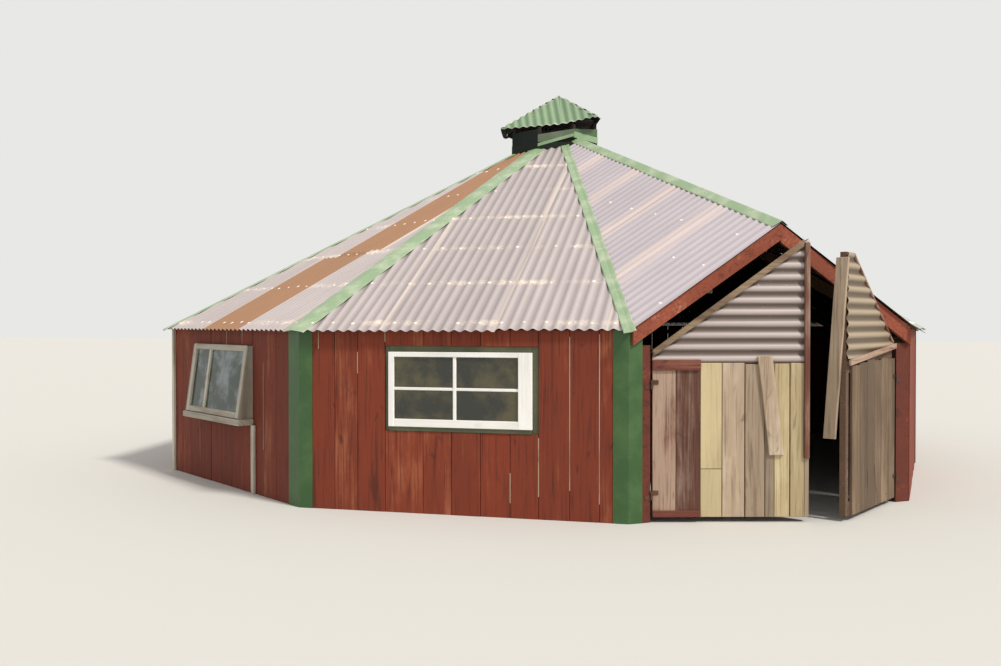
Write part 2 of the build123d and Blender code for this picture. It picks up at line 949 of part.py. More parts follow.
# Left door: ledges and stiles, with the strap knuckles
left_slope = (left_sheet_high - left_sheet_low) / left_width
left_edges = (door_gap, left_width)
left_top = [left_sheet_low + end * left_slope for end in left_edges]
left_straps = [
    hinge_piece("left", left_door_open, pin_radius + pin_clearance, height, knuckle_height,
                hinge_plate_width, 0)
    for height in hinge_heights
]
left_frame_parts = [
    leaf_piece("left", outline, back, behind)
    for outline in (
        box_outline(door_gap, left_width, door_bottom, door_bottom + ledge_height),
        box_outline(door_gap, left_width, door_middle - ledge_height, door_middle),
        box_outline(door_gap, door_gap + stile_width, door_bottom, left_sheet_low),
        [(left_width - stile_width, door_bottom), (left_width, door_bottom),
         (left_width, left_top[1]), (left_width - stile_width, left_top[1] - stile_width * left_slope)],
        [(door_gap, left_top[0] - stile_width), (left_width, left_top[1] - stile_width),
         (left_width, left_top[1]), (door_gap, left_top[0])],
    )
]
with BuildPart() as left_door_frame:
    add(left_frame_parts)
finish(left_door_frame.part, "left_door_frame")

left_boards_part = leaf_piece(
    "left", box_outline(door_gap, left_width, door_bottom, door_middle), behind, 0
)
with BuildPart() as left_door_boards:
    add([left_boards_part, *left_straps])
finish(left_door_boards.part, "left_door_boards")

left_sheet_part = leaf_piece(
    "left",
    [(door_gap, door_middle), (left_width, door_middle), (left_width, left_top[1]), (door_gap, left_top[0])],
    behind, behind + door_sheet_depth,
)
with BuildPart() as left_door_sheet:
    add(left_sheet_part)
finish(left_door_sheet.part, "left_door_sheet")

# Left door's trim: the batten on its slope, the edge strip and the loose plank
batten_ends = (door_gap, left_width - left_batten_end_gap)
batten_line = [left_top[0] + (end - door_gap) * left_slope for end in batten_ends]
plank_side = loose_plank_width / 2
left_trim_parts = [
    leaf_piece("left", outline, low, door_batten)
    for outline, low in (
        ([(batten_ends[0], batten_line[0] - left_batten_height / 2),
          (batten_ends[1], batten_line[1] - left_batten_height / 2),
          (batten_ends[1], batten_line[1] + left_batten_height / 2),
          (batten_ends[0], batten_line[0] + left_batten_height / 2)],
         behind + door_sheet_depth),
        (box_outline(left_width - edge_strip, left_width, edge_strip_foot,
                     gable_peak_height - edge_strip_drop),
         0),
        ([(loose_plank_foot - plank_side, loose_plank_bottom),
          (loose_plank_foot + plank_side, loose_plank_bottom),
          (loose_plank_head + plank_side, door_middle + loose_plank_rise),
          (loose_plank_head - plank_side, door_middle + loose_plank_rise)],
         0),
    )
]
with BuildPart() as left_door_trim:
    add(left_trim_parts)
finish(left_door_trim.part, "left_door_trim")

# Right door: ledges and stiles, boards short of the edge, sheet and crooked edge plank
right_slope = (right_sheet_high - right_sheet_low) / (right_sheet_shoulder - door_gap)
right_sheet_outline = [
    (door_gap, right_rail_hinge), (right_sheet_end, right_rail_edge), (right_sheet_end, right_sheet_high),
    (right_sheet_shoulder, right_sheet_high), (door_gap, right_sheet_low),
]
right_straps = [
    hinge_piece("right", right_door_open, pin_radius + pin_clearance, height, knuckle_height,
                hinge_plate_width, 0)
    for height in hinge_heights
]
right_frame_parts = [
    leaf_piece("right", outline, back, behind)
    for outline in (
        box_outline(door_gap, right_sheet_end, door_bottom, door_bottom + ledge_height),
        [(door_gap, right_rail_hinge - ledge_height), (right_sheet_end, right_rail_edge - ledge_height),
         (right_sheet_end, right_rail_edge), (door_gap, right_rail_hinge)],
        box_outline(door_gap, door_gap + stile_width, door_bottom, right_sheet_low),
        [(door_gap, right_sheet_low - stile_width), (right_sheet_shoulder, right_sheet_high - stile_width),
         (right_sheet_end, right_sheet_high - stile_width), (right_sheet_end, right_sheet_high),
         (right_sheet_shoulder, right_sheet_high), (door_gap, right_sheet_low)],
        box_outline(right_sheet_end - stile_width, right_sheet_end, door_bottom, right_sheet_high),
    )
]
with BuildPart() as right_door_frame:
    add(right_frame_parts)
finish(right_door_frame.part, "right_door_frame")

right_boards_part = leaf_piece(
    "right",
    [(door_gap, door_bottom), (right_boards_end, door_bottom),
     (right_boards_end, right_rail_edge), (door_gap, right_rail_edge)],
    behind, 0,
)
with BuildPart() as right_door_boards:
    add([right_boards_part, *right_straps])
finish(right_door_boards.part, "right_door_boards")

right_sheet_part = leaf_piece("right", right_sheet_outline, behind, behind + door_sheet_depth)
with BuildPart() as right_door_sheet:
    add(right_sheet_part)
finish(right_door_sheet.part, "right_door_sheet")

# The crooked plank on the right door's free edge, its broad face across the leaf
pin, run, outward, sign = leaf_frame("right", right_door_open)
plank_plane = Plane(origin=pin + run * right_sheet_end, x_dir=outward, z_dir=outward.cross(Vector(0, 0, 1)))
plank_top = gable_peak_height - edge_plank_drop
with BuildPart() as right_door_plank:
    with BuildSketch(plank_plane):
        with Locations((-pin_stand_off, 0)):
            with BuildLine():
                Polyline(
                    (-edge_plank_lean - edge_plank_width, edge_plank_foot),
                    (-edge_plank_lean, edge_plank_foot),
                    (0, plank_top),
                    (-edge_plank_width, plank_top),
                    close=True,
                )
            make_face()
    extrude(amount=edge_plank_thickness)
finish(right_door_plank.part, "right_door_plank")
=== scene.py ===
import json
import random
from math import atan2, ceil, cos, degrees, floor, hypot, pi, radians, sin

import bmesh
import bpy
from mathutils import Euler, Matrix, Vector


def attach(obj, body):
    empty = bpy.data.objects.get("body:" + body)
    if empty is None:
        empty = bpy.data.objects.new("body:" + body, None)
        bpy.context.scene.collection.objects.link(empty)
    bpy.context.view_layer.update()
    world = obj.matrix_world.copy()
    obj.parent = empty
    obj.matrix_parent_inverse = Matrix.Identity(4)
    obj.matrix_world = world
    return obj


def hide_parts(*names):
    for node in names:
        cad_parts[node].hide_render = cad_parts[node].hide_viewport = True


# The looks of the ten-sided yurt, in metres, in the frame of its solids: corrugated sheets
# for the roof's slabs, single boards for the wall panels and doors, and a finish for each
# surface. Sizes shared with the solids keep their names.

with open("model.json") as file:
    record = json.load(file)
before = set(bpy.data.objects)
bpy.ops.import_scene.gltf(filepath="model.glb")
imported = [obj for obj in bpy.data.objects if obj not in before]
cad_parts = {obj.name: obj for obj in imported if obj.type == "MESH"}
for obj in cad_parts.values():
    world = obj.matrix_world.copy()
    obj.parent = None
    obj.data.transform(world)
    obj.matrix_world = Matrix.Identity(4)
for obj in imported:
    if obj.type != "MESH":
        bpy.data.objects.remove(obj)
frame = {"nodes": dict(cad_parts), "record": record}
scene = bpy.context.scene
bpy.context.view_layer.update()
chance = random.Random(4)
vary = chance.uniform

# Plan and heights shared with the solids
sides = 10
turn = 360 / sides
front_facing = -90
entrance = 1
side_window = 9
corner_radius = 3.75
radius_shares = (1, 1, 1, 0.901, 0.933, 1, 1, 0.933, 0.901, 1)
eave_height = 1.286
roof_rise = 1.965
gable_rise = 0.723
eave_overhang = 0.060
gable_overhang = 0.036
board_thickness = 0.025
board_top = 1.255
half_side = corner_radius * sin(radians(turn / 2))
apothem = corner_radius * cos(radians(turn / 2))
apex = Vector((0, 0, eave_height + roof_rise))
eave_reach = 1 + eave_overhang / apothem
gable_reach = 1 + gable_overhang / apothem

# Sheets, edges and pieces in general
wave_pitch = 0.0762
waves_in_sheet = 9
wave_steps = 8
lap_step = 0.0012
sheet_metal = 0.001
cap_metal_thickness = 0.0012
cap_length = 1.8
cap_lap = 0.05
cap_bend_step = 0.11
rivet_sides = 8
tube_sides = 16
eased = 0.003
plain_tint = (1, 0, 0, 1)


def at(radius, bearing, height=0.0):
    """A point at a radius and an angle round the middle."""
    angle = radians(bearing)
    return Vector((radius * cos(angle), radius * sin(angle), height))


def wall_angle(index):
    return front_facing + index * turn


def corner_angle(index):
    return wall_angle(index) - turn / 2


def hip_radius(index):
    return corner_radius * radius_shares[index % sides]


def corner(index, height=0.0):
    """A corner of the walls' outer faces."""
    return at(hip_radius(index), corner_angle(index), height)


def hip_point(radius, index):
    """A point of the roof's surface on a hip."""
    drop = radius * roof_rise / hip_radius(index)
    return at(radius, corner_angle(index), apex.z - drop)


def placed(name, data):
    """A new object of the scene."""
    item = bpy.data.objects.new(name, data)
    scene.collection.objects.link(item)
    return item


class Surface:
    """A flat working face: x along it, y up it and z out of it."""

    def __init__(self, origin, along, up):
        self.origin = Vector(origin)
        self.along = Vector(along).normalized()
        self.out = self.along.cross(Vector(up)).normalized()
        self.up = self.out.cross(self.along)

    def point(self, x, y, z=0.0):
        return self.origin + self.along * x + self.up * y + self.out * z

    def local(self, point):
        away = point - self.origin
        return away.dot(self.along), away.dot(self.up)


def wall_surface(index):
    """A wall's outer face, from the foot of its middle."""
    left, right = corner(index), corner(index + 1)
    along = (right - left).normalized()
    out = along.cross(Vector((0, 0, 1)))
    return Surface(out * left.dot(out), along, (0, 0, 1))


def facet_surface(index):
    """A regular roof facet, from the middle of its eave."""
    left, right = corner(index, eave_height), corner(index + 1, eave_height)
    return Surface((left + right) / 2, right - left, apex - left)


walls = [wall_surface(index) for index in range(sides)]
gable_peak = walls[entrance].point(0, eave_height + gable_rise)


# Outlines
def inset(outline, amounts):
    """A convex outline with its edges moved in; edge k runs from point k to the next."""
    count = len(outline)
    if not isinstance(amounts, list):
        amounts = [amounts] * count
    area = sum(
        outline[k - 1][0] * outline[k][1] - outline[k][0] * outline[k - 1][1] for k in range(count)
    )
    sense = 1 if area > 0 else -1
    normals = []
    for k in range(count):
        ax, ay = outline[k]
        bx, by = outline[(k + 1) % count]
        length = hypot(bx - ax, by - ay)
        normals.append((-(by - ay) / length * sense, (bx - ax) / length * sense))
    moved = []
    for k in range(count):
        (px, py), (qx, qy) = normals[k - 1], normals[k]
        a, b = amounts[k - 1], amounts[k]
        along = px * qx + py * qy
        scale = 1 - along * along
        u, v = (a - b * along) / scale, (b - a * along) / scale
        moved.append((outline[k][0] + px * u + qx * v, outline[k][1] + py * u + qy * v))
    return moved


def rect(left, right, bottom, top):
    """A rectangle's corners."""
    return [(left, bottom), (right, bottom), (right, top), (left, top)]


def span_at(outline, x):
    """The lowest and highest y of a convex outline at an x."""
    found = []
    for k in range(len(outline)):
        (x0, y0), (x1, y1) = outline[k - 1], outline[k]
        if (x0 - x) * (x1 - x) <= 0 and x0 != x1:
            found.append(y0 + (y1 - y0) * (x - x0) / (x1 - x0))
    return (min(found), max(found)) if len(found) > 1 else None


def ring_faces(count, start=0):
    """Faces between one ring of points and the next."""
    ring = [start + k for k in range(count)]
    return [[a, b, b + count, a + count] for a, b in zip(ring, ring[1:] + ring[:1])]


class Shape:
    """Faces gathered for one object, with a map in metres and a tint for each piece."""

    def __init__(self):
        self.points = []
        self.faces = []
        self.maps = []
        self.tints = []
        self.slots = []
        self.thickness = 0.0
        self.smooth = False

    def add(self, points, faces, maps, tint, slot=0):
        start = len(self.points)
        self.points += points
        tints = tint if isinstance(tint, list) else [tint] * len(points)
        for face in faces:
            self.faces.append([start + k for k in face])
            self.maps += [maps[k] for k in face]
            self.tints += [tints[k] for k in face]
            self.slots.append(slot)

    def slab(self, surface, outline, low, high, chamfer=0.002, tint=(1, 0), grain="y", slot=0):
        """A flat piece between two depths, its outer edges eased; tint is lightness and wear."""
        count = len(outline)
        shift_x, shift_y = vary(0, 40), vary(0, 40)
        rings = ((outline, low), (outline, high - chamfer), (inset(outline, chamfer), high))
        points, maps = [], []
        for ring, depth in rings:
            for x, y in ring:
                points.append(surface.point(x, y, depth))
                across, length = (x, y) if grain == "y" else (y, x)
                maps.append((across + shift_x + depth, length + shift_y))
        faces = [list(range(count))[::-1], [2 * count + k for k in range(count)]]
        self.add(points, faces + ring_faces(count) + ring_faces(count, count), maps, (*tint, 0, 1), slot)

    def slabs(self, surface, outlines, low, high, chamfer=0.002, tint=(1, 0), grain="y"):
        """Like flat pieces between the same two depths."""
        for outline in outlines:
            self.slab(surface, outline, low, high, chamfer, tint, grain)

    def rivet(self, surface, x, y, z, radius, height, slot):
        """A low domed head."""
        points = []
        for ring_radius, ring_height in ((radius, 0), (0.75 * radius, 0.7 * height)):
            for k in range(rivet_sides):
                a = radians(360 / rivet_sides * k)
                spot = (x + ring_radius * cos(a), y + ring_radius * sin(a))
                points.append(surface.point(*spot, z + ring_height))
        points.append(surface.point(x, y, z + height))
        faces = ring_faces(rivet_sides)
        for k in range(rivet_sides):
            faces.append([rivet_sides + k, rivet_sides + (k + 1) % rivet_sides, 2 * rivet_sides])
        self.add(points, faces, [(0, 0)] * len(points), plain_tint, slot)

    def tube(self, bottom, top, radius, slot):
        """A round rod between two points."""
        run = (top - bottom).normalized()
        side = run.orthogonal().normalized()
        other = run.cross(side)
        points, maps = [], []
        for end in (bottom, top):
            for k in range(tube_sides):
                a = radians(360 / tube_sides * k)
                points.append(end + (side * cos(a) + other * sin(a)) * radius)
                maps.append((k * radius / 3, (end - bottom).length))
        ends = [list(range(tube_sides))[::-1], [tube_sides + k for k in range(tube_sides)]]
        self.add(points, ring_faces(tube_sides) + ends, maps, plain_tint, slot)

    def corrugated(self, surface, outline, sheets, depth=0.0165, top=0.002, rows=3, edge_width=0.06,
                   limit=None, rim_highlight=0.0):
        """Corrugated sheets cut to a convex outline, their waves running along y.

        A sheet is (left, right, bottom, top, lightness, rust). The tint's last two numbers say
        how near each point is to the sheet's edge and how high it is on its wave; the finishes paint shade
        in the valleys from that height.
        A limit says how far up a sheet may run at an x, and a rim paints a highlight at the ends of its
        waves."""
        self.thickness, self.smooth = sheet_metal, True
        step = wave_pitch / wave_steps
        for number, (left, right, low_end, high_end, light, rust) in enumerate(sheets):
            lift = top - lap_step * (number % 2)
            shift = vary(0, 30)
            strip = []
            for k in range(ceil((right - left) / step) + 1):
                x = min(left + k * step, right)
                span = span_at(outline, x)
                if span:
                    low, high = max(span[0], low_end), min(span[1], high_end)
                    high = min(high, limit(x)) if limit else high
                    if high - low > 0.002:
                        strip.append((x, low, high))
            points, maps, faces, tints = [], [], [], []
            for x, low, high in strip:
                wave = 0.5 * (1 + cos(2 * pi * x / wave_pitch))
                edge = max(0.0, 1 - min(x - left, right - x) / edge_width)
                for r in range(rows + 1):
                    y = low + (high - low) * r / rows
                    points.append(surface.point(x, y, lift - depth * (1 - wave)))
                    maps.append((x + shift, y + shift))
                    tints.append((light, rust, max(edge, rim_highlight if r in (0, rows) else 0.0), wave))
            for k in range(len(strip) - 1):
                for r in range(rows):
                    a = k * (rows + 1) + r
                    faces.append([a, a + rows + 1, a + rows + 2, a + 1])
            self.add(points, faces, maps, tints)

    def folded(self, start, end, left_normal, right_normal, flanges, lightness=1):
        """A folded sheet cap along a roof line, a little uneven, in lapped lengths."""
        self.thickness = cap_metal_thickness
        run = (end - start).normalized()
        to_right = right_normal.cross(run).normalized()
        to_left = run.cross(left_normal).normalized()
        middle = (left_normal + right_normal).normalized()
        length = (end - start).length
        pieces = max(1, round(length / cap_length))
        for piece in range(pieces):
            low = length * piece / pieces
            high = min(length, length * (piece + 1) / pieces + cap_lap)
            count = max(2, round((high - low) / cap_bend_step))
            lift = 0.0026 + 0.0009 * (piece % 2)
            points, maps = [], []
            light = lightness * vary(0.95, 1.04)
            for k in range(count + 1):
                along = low + (high - low) * k / count
                base = start + run * along
                wide = [flange + vary(-0.0045, 0.0) for flange in flanges]
                sag = vary(-0.0008, 0.0008)
                section = (
                    (to_left, wide[0], -0.004), (to_left, wide[0] - 0.006, 0.0), (to_left, 0.012, 0.0007),
                    (middle, 0.0, 0.0), (to_right, 0.012, 0.0007), (to_right, wide[1] - 0.006, 0.0),
                    (to_right, wide[1], -0.004),
                )
                for side, across, raise_by in section:
                    points.append(base + side * across + middle * (lift + raise_by + sag))
                    maps.append((across + piece, along))
            faces = []
            for k in range(count):
                for c in range(len(section) - 1):
                    a = k * len(section) + c
                    faces.append([a, a + 1, a + len(section) + 1, a + len(section)])
            self.add(points, faces, maps, (light, 0, 0, 1))

    def build(self, name, finishes, replaced=None, body="building"):
        """Makes the object and puts it on its body; thin metal has the last finish below."""
        mesh = bpy.data.meshes.new(name)
        mesh.from_pydata(self.points, [], self.faces)
        layer = mesh.uv_layers.new(name="surface")
        layer.data.foreach_set("uv", [value for pair in self.maps for value in pair])
        colours = mesh.color_attributes.new("tint", "FLOAT_COLOR", "CORNER")
        colours.data.foreach_set("color", [value for tint in self.tints for value in tint])
        mesh.polygons.foreach_set("material_index", self.slots)
        for finish in finishes:
            mesh.materials.append(finish)
        item = placed(name, mesh)
        if self.smooth:
            mesh.polygons.foreach_set("use_smooth", [True] * len(mesh.polygons))
        if self.thickness:
            shell = item.modifiers.new("thickness", "SOLIDIFY")
            shell.thickness = self.thickness
            shell.offset = -1
            shell.material_offset = len(finishes) - 1
        else:
            work = bmesh.new()
            work.from_mesh(mesh)
            bmesh.ops.recalc_face_normals(work, faces=work.faces)
            work.to_mesh(mesh)
            work.free()
        if self.smooth:
            creases = item.modifiers.new("creases", "EDGE_SPLIT")
            creases.split_angle = radians(50)
        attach(item, body)
        if replaced:
            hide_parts(replaced)


# Finishes
def srgb(red, green, blue):
    """A colour from its 0 to 255 values."""
    return tuple(
        v / 12.92 if v <= 0.04045 else ((v + 0.055) / 1.055) ** 2.4
        for v in (red / 255, green / 255, blue / 255)
    )


class Nodes:
    """A node tree that is put together from named steps; colours are 0 to 255 values."""

    def __init__(self, tree):
        self.tree = tree

    def node(self, kind, **values):
        """A new node with some of its inputs filled."""
        node = self.tree.nodes.new("ShaderNode" + kind)
        for name, value in values.items():
            self.join(value, node.inputs[name])
        return node

    def join(self, source, target):
        if hasattr(source, "is_output"):
            self.tree.links.new(source, target)
        elif isinstance(source, tuple) and len(source) == 3 and target.type == "RGBA":
            target.default_value = (*srgb(*source), 1)
        else:
            target.default_value = source

    def step(self, value, low, high):
        """0 below low, 1 above high and smooth between them."""
        node = self.node("MapRange", Value=value)
        node.interpolation_type = "SMOOTHSTEP"
        self.join(low, node.inputs["From Min"])
        self.join(high, node.inputs["From Max"])
        return node.outputs["Result"]

    def mix(self, first, second, share, kind="MIX"):
        node = self.node("Mix")
        node.data_type = "RGBA"
        node.blend_type = kind
        self.join(share, node.inputs[0])
        self.join(first, node.inputs[6])
        self.join(second, node.inputs[7])
        return node.outputs[2]

    def maths(self, operation, first, second):
        node = self.node("Math")
        node.operation = operation
        self.join(first, node.inputs[0])
        self.join(second, node.inputs[1])
        return node.outputs[0]

    def plus(self, first, second):
        return self.maths("ADD", first, second)

    def times(self, first, second):
        return self.maths("MULTIPLY", first, second)

    def shade(self, colour, value, share=1.0):
        """A colour times a grey."""
        grey = self.node("CombineColor", Red=value, Green=value, Blue=value).outputs["Color"]
        return self.mix(colour, grey, share, "MULTIPLY")


class Finish(Nodes):
    """One procedural material, over each piece's own map or in the object's space."""

    def __init__(self, name, roughness=0.7, metallic=0.0, own_map=True):
        self.material = bpy.data.materials.new(name)
        self.material.use_nodes = True
        super().__init__(self.material.node_tree)
        self.own_map = own_map
        self.shader = self.tree.nodes["Principled BSDF"]
        self.fill("Roughness", roughness)
        self.fill("Metallic", metallic)

    def fill(self, name, value):
        """Fills an input of the shader."""
        self.join(value, self.shader.inputs[name])

    def noise(self, across, along, detail, roughness=0.6, distortion=0.0):
        """Noise that is stretched, so that its patterns run along the surface."""
        source = self.node("TexCoord").outputs["UV" if self.own_map else "Object"]
        place = self.node("Mapping", Vector=source, Scale=(across, along, across)).outputs["Vector"]
        return self.node(
            "TexNoise", Vector=place, Scale=1.0, Detail=detail, Roughness=roughness, Distortion=distortion
        ).outputs["Fac"]

    def tint(self):
        """Four numbers of each piece: lightness, wear or rust, edge and height on the wave."""
        source = self.node("VertexColor")
        source.layer_name = "tint"
        parts = self.node("SeparateColor", Color=source.outputs["Color"]).outputs
        return parts["Red"], parts["Green"], parts["Blue"], source.outputs["Alpha"]

    def height(self):
        """How high each point is above the ground."""
        return self.node("SeparateXYZ", Vector=self.node("TexCoord").outputs["Object"]).outputs["Z"]

    def bump(self, value, distance, strength=1.0):
        node = self.node("Bump", Distance=distance, Strength=strength, Height=value)
        self.fill("Normal", node.outputs["Normal"])


def wood(name, paint, pale, dark, wear, roughness=0.8, contrast=0.6, tinted=True):
    """Wood: a fine grain, worn paint, knots and scuffs; tinted pieces also have a map."""
    look = Finish(name, roughness, own_map=tinted)
    grain = look.noise(70, 2.2, 7, 0.6, 0.25)
    coarse = look.noise(16, 1.0, 5, 0.6, 0.5)
    patches = look.noise(4.5, 1.7, 6, 0.6)
    worn = look.plus(look.times(coarse, 0.5), look.times(patches, 0.6))
    worn = look.plus(worn, look.times(grain, 0.25))
    light = 1.0
    if tinted:
        light, more = look.tint()[:2]
        worn = look.plus(worn, look.times(more, 0.30))
    level = 0.98 - 0.34 * wear
    shown = look.mix(paint, pale, look.step(worn, level - 0.10, level + 0.14))
    knots = look.step(look.noise(13, 5, 2, 0.4, 0.9), 0.66, 0.76)
    for mark in (look.step(grain, 0.50, 0.30), look.step(coarse, 0.44, 0.30), knots):
        shown = look.mix(shown, dark, look.times(mark, contrast))
    shown = look.shade(shown, look.plus(patches, 0.5), 0.45)
    if tinted:
        shown = look.shade(shown, light)
    look.fill("Base Color", shown)
    look.bump(look.plus(grain, coarse), 0.0010, 0.7)
    return look.material


def plain_wood(name, paint, pale, dark, wear, roughness=0.85):
    """Wood for pieces that have no map and no tint."""
    return wood(name, paint, pale, dark, wear, roughness, tinted=False)


def roof_metal(name, shaded_valley, lit_crest, lap_stain_and_highlight, rust, row_gap=None, streaky=0.5, crest_from=-0.1):
    """Weathered corrugated steel: painted shade in the valleys and painted light on the crests, stains and
    painted highlights down the laps and along the fastener rows, rust by the sheet.
    """
    look = Finish(name, 0.45, 0.1)
    streaks = look.noise(30, 0.6, 6, 0.6)
    blots = look.noise(3.0, 1.6, 6, 0.62)
    fine = look.noise(55, 40, 5, 0.65)
    light, rusty, edge, wave = look.tint()
    # Painted shade and light: the valleys take the darker colour and the crests the lighter one, by each
    # point's height on its wave, broken up by streaks.
    uneven = look.plus(wave, look.times(look.maths("SUBTRACT", streaks, 0.5), streaky * 2))
    shown = look.mix(shaded_valley, lit_crest, look.step(uneven, crest_from, 1.0))
    # The pale marks down the laps are partly stains and partly painted highlights.
    stain_and_highlight = look.times(look.step(look.plus(edge, streaks), 1.0, 1.5), 0.6)
    if row_gap:
        # Pale broken bands along the fastener rows: partly stains, partly painted highlights of the heads.
        first_row, row_step = row_gap
        above = look.maths("SUBTRACT", look.height(), first_row)
        reach = look.maths("PINGPONG", above, row_step / 2)
        row = look.step(look.maths("SUBTRACT", look.times(streaks, 0.034), reach), -0.010, 0.014)
        broken = look.step(look.plus(fine, look.times(blots, 0.6)), 0.66, 0.92)
        row = look.times(row, look.step(blots, 0.36, 0.68))
        stain_and_highlight = look.maths("MAXIMUM", stain_and_highlight, look.times(row, broken))
    shown = look.mix(shown, lap_stain_and_highlight, stain_and_highlight)
    speck = look.step(look.plus(fine, look.times(blots, 0.5)), 0.90, 1.02)
    shown = look.mix(shown, lap_stain_and_highlight, look.times(speck, 0.6))
    eaten = look.plus(look.times(streaks, 0.3), look.times(blots, 0.35))
    eaten = look.plus(eaten, rusty)
    shown = look.mix(shown, rust, look.step(eaten, 0.62, 0.95))
    shown = look.shade(shown, look.plus(blots, 0.5), 0.22)
    shown = look.shade(shown, light)
    look.fill("Base Color", shown)
    look.fill("Roughness", look.plus(look.times(eaten, 0.3), 0.36))
    look.bump(fine, 0.0005, 0.5)
    return look.material


def sheet_paint(name, base, worn, own_map=False, roughness=0.5):
    """Painted sheet metal: faded patches, dirt and small scratches."""
    look = Finish(name, roughness, own_map=own_map)
    blots = look.noise(4, 4, 7, 0.62)
    fine = look.noise(70, 70, 4, 0.7)
    shown = look.mix(base, worn, look.step(blots, 0.42, 0.66))
    chips = look.step(look.plus(fine, look.times(blots, 0.3)), 0.80, 0.86)
    shown = look.mix(shown, (95, 80, 62), look.times(chips, 0.6))
    shown = look.shade(shown, look.plus(fine, 0.5), 0.25)
    look.fill("Base Color", shown)
    look.fill("Roughness", look.plus(look.times(blots, 0.4), roughness - 0.22))
    look.bump(fine, 0.0005, 0.5)
    return look.material


red_boards = wood("red_boards", (130, 52, 26), (158, 92, 60), (62, 24, 14), 0.40)
timber = plain_wood("frame_timber", (120, 90, 66), (140, 112, 84), (70, 48, 34), 0.4)
weathered_frame = plain_wood("weathered_frame", (104, 80, 62), (136, 110, 88), (60, 42, 32), 0.5)
red_posts = plain_wood("red_posts", (100, 42, 26), (132, 80, 56), (56, 24, 16), 0.4, 0.8)
barge_red = plain_wood("barge_red", (146, 72, 48), (186, 122, 92), (86, 40, 28), 0.52, 0.8)
white_paint = wood("white_paint", (250, 248, 244), (240, 234, 222), (214, 208, 196), 0.2, 0.45, 0.3)
cream = wood("weathered_cream", (206, 200, 184), (160, 148, 128), (128, 114, 96), 0.55)
grey_boards = wood("grey_boards", (178, 156, 132), (198, 182, 158), (112, 92, 74), 0.5)
brown_boards = wood("brown_boards", (120, 98, 76), (148, 126, 100), (74, 54, 40), 0.5)
# In the corrugated finishes below, the first two colours are painted shade for the valleys and painted
# light for the crests; the third is for stains and painted highlights.
rust_waves = (162, 122, 92)
roof_stain_and_highlight = (236, 220, 202)
roof_sheet = roof_metal(
    "roof_sheet", (170, 158, 158), (194, 183, 181), roof_stain_and_highlight, rust_waves, (1.301, 0.2925)
)
gable_sheet = roof_metal("gable_sheet", (184, 175, 180), (200, 189, 194), (232, 210, 199), rust_waves)
# Bare steel under the roof sheets, darkened as painted shade.
shaded_bare_steel = roof_metal("bare_underside_painted_shade", (74, 68, 62), (92, 84, 76), (100, 92, 80), (84, 62, 48))
# Near-black underside of the cupola's cap: painted shade.
cap_painted_shade = sheet_paint("cap_underside_painted_shade", (16, 18, 12), (26, 28, 20), True, 1.0)
door_metal = roof_metal(
    "door_sheet", (100, 86, 78), (192, 178, 174), (196, 182, 170), (120, 90, 70), None, 0.2, 0.25
)
olive_metal = roof_metal(
    "olive_sheet", (98, 82, 62), (176, 158, 132), (184, 168, 142), (120, 90, 70), None, 0.2, 0.1
)
cap_metal = sheet_paint("pale_green_cap", (146, 172, 132), (184, 196, 168), True)
cap_waves = roof_metal(
    "green_waves", (104, 136, 102), (144, 166, 130), (222, 222, 204), (130, 140, 110), None, 0.3
)
flashing_metal = sheet_paint("green_flashing", (50, 86, 42), (66, 100, 54))
# Near-black skirt under the cupola's collar: painted shade.
skirt_painted_shade = sheet_paint("skirt", (14, 24, 16), (26, 38, 26), roughness=0.95)
cupola_pale = sheet_paint("cupola_pale", (90, 104, 82), (108, 120, 96))
# Near-black teal for the cupola's faces away from the sun: painted shade.
cupola_painted_shade = sheet_paint("cupola_painted_shade", (2, 22, 15), (8, 34, 26), roughness=0.95)
cupola_green = sheet_paint("cupola_green", (72, 96, 60), (86, 110, 72))
collar_green = sheet_paint("collar_green", (132, 162, 122), (150, 176, 140))
# Dark brown wood under the cupola's cap: painted shade.
soffit_painted_shade = plain_wood("soffit_painted_shade", (44, 22, 18), (60, 34, 28), (22, 12, 10), 0.3)
# Fastener heads: real heads, their near white a painted highlight.
fastener_white_highlight = sheet_paint("fastener_white_highlight", (250, 240, 228), (236, 222, 206))
hinge_iron = sheet_paint("hinge_iron", (74, 44, 34), (98, 62, 46))
# Dark olive for the strips round the front window: partly trim, partly painted shade of the gap.
trim_and_gap_shade = sheet_paint("olive_trim", (72, 78, 52), (88, 90, 64))


def glass(name, colour, glare, roughness):
    """Old glass with a painted reflection: mottled patches of a glare colour."""
    look = Finish(name, roughness, own_map=False)
    reflection_patches = look.noise(5.0, 4.0, 6, 0.6)
    look.fill("Base Color", look.mix(colour, glare, look.step(reflection_patches, 0.42, 0.66)))
    look.fill("Transmission Weight", 0.35)
    look.fill("IOR", 1.45)
    look.bump(reflection_patches, 0.002, 0.25)
    return look.material


# The glare colours are painted reflections.
front_glass = glass("front_glass", (70, 72, 66), (110, 104, 78), 0.05)
side_glass = glass("side_glass", (60, 74, 56), (150, 160, 164), 0.08)

# Finishes of the solids that stay; timber where a slot or a node isn't named
slot_finishes = {
    "green_flashing": flashing_metal, "pale_green_cap": cap_metal, "red_trim": red_posts,
    "window_glass": front_glass, "hinge_iron": hinge_iron, "cupola_green": cupola_green,
    "roof_sheet": cap_metal,
}
node_finishes = {
    "side_window_glass": side_glass, "barge_boards": barge_red, "cupola_skirt": skirt_painted_shade,
    "left_door_frame": weathered_frame, "right_door_frame": weathered_frame,
}
for subpart in frame["record"]["subparts"]:
    node = subpart["node"]
    materials = frame["nodes"][node].data.materials
    materials.clear()
    materials.append(node_finishes.get(node) or slot_finishes.get(subpart["material_slot"], timber))

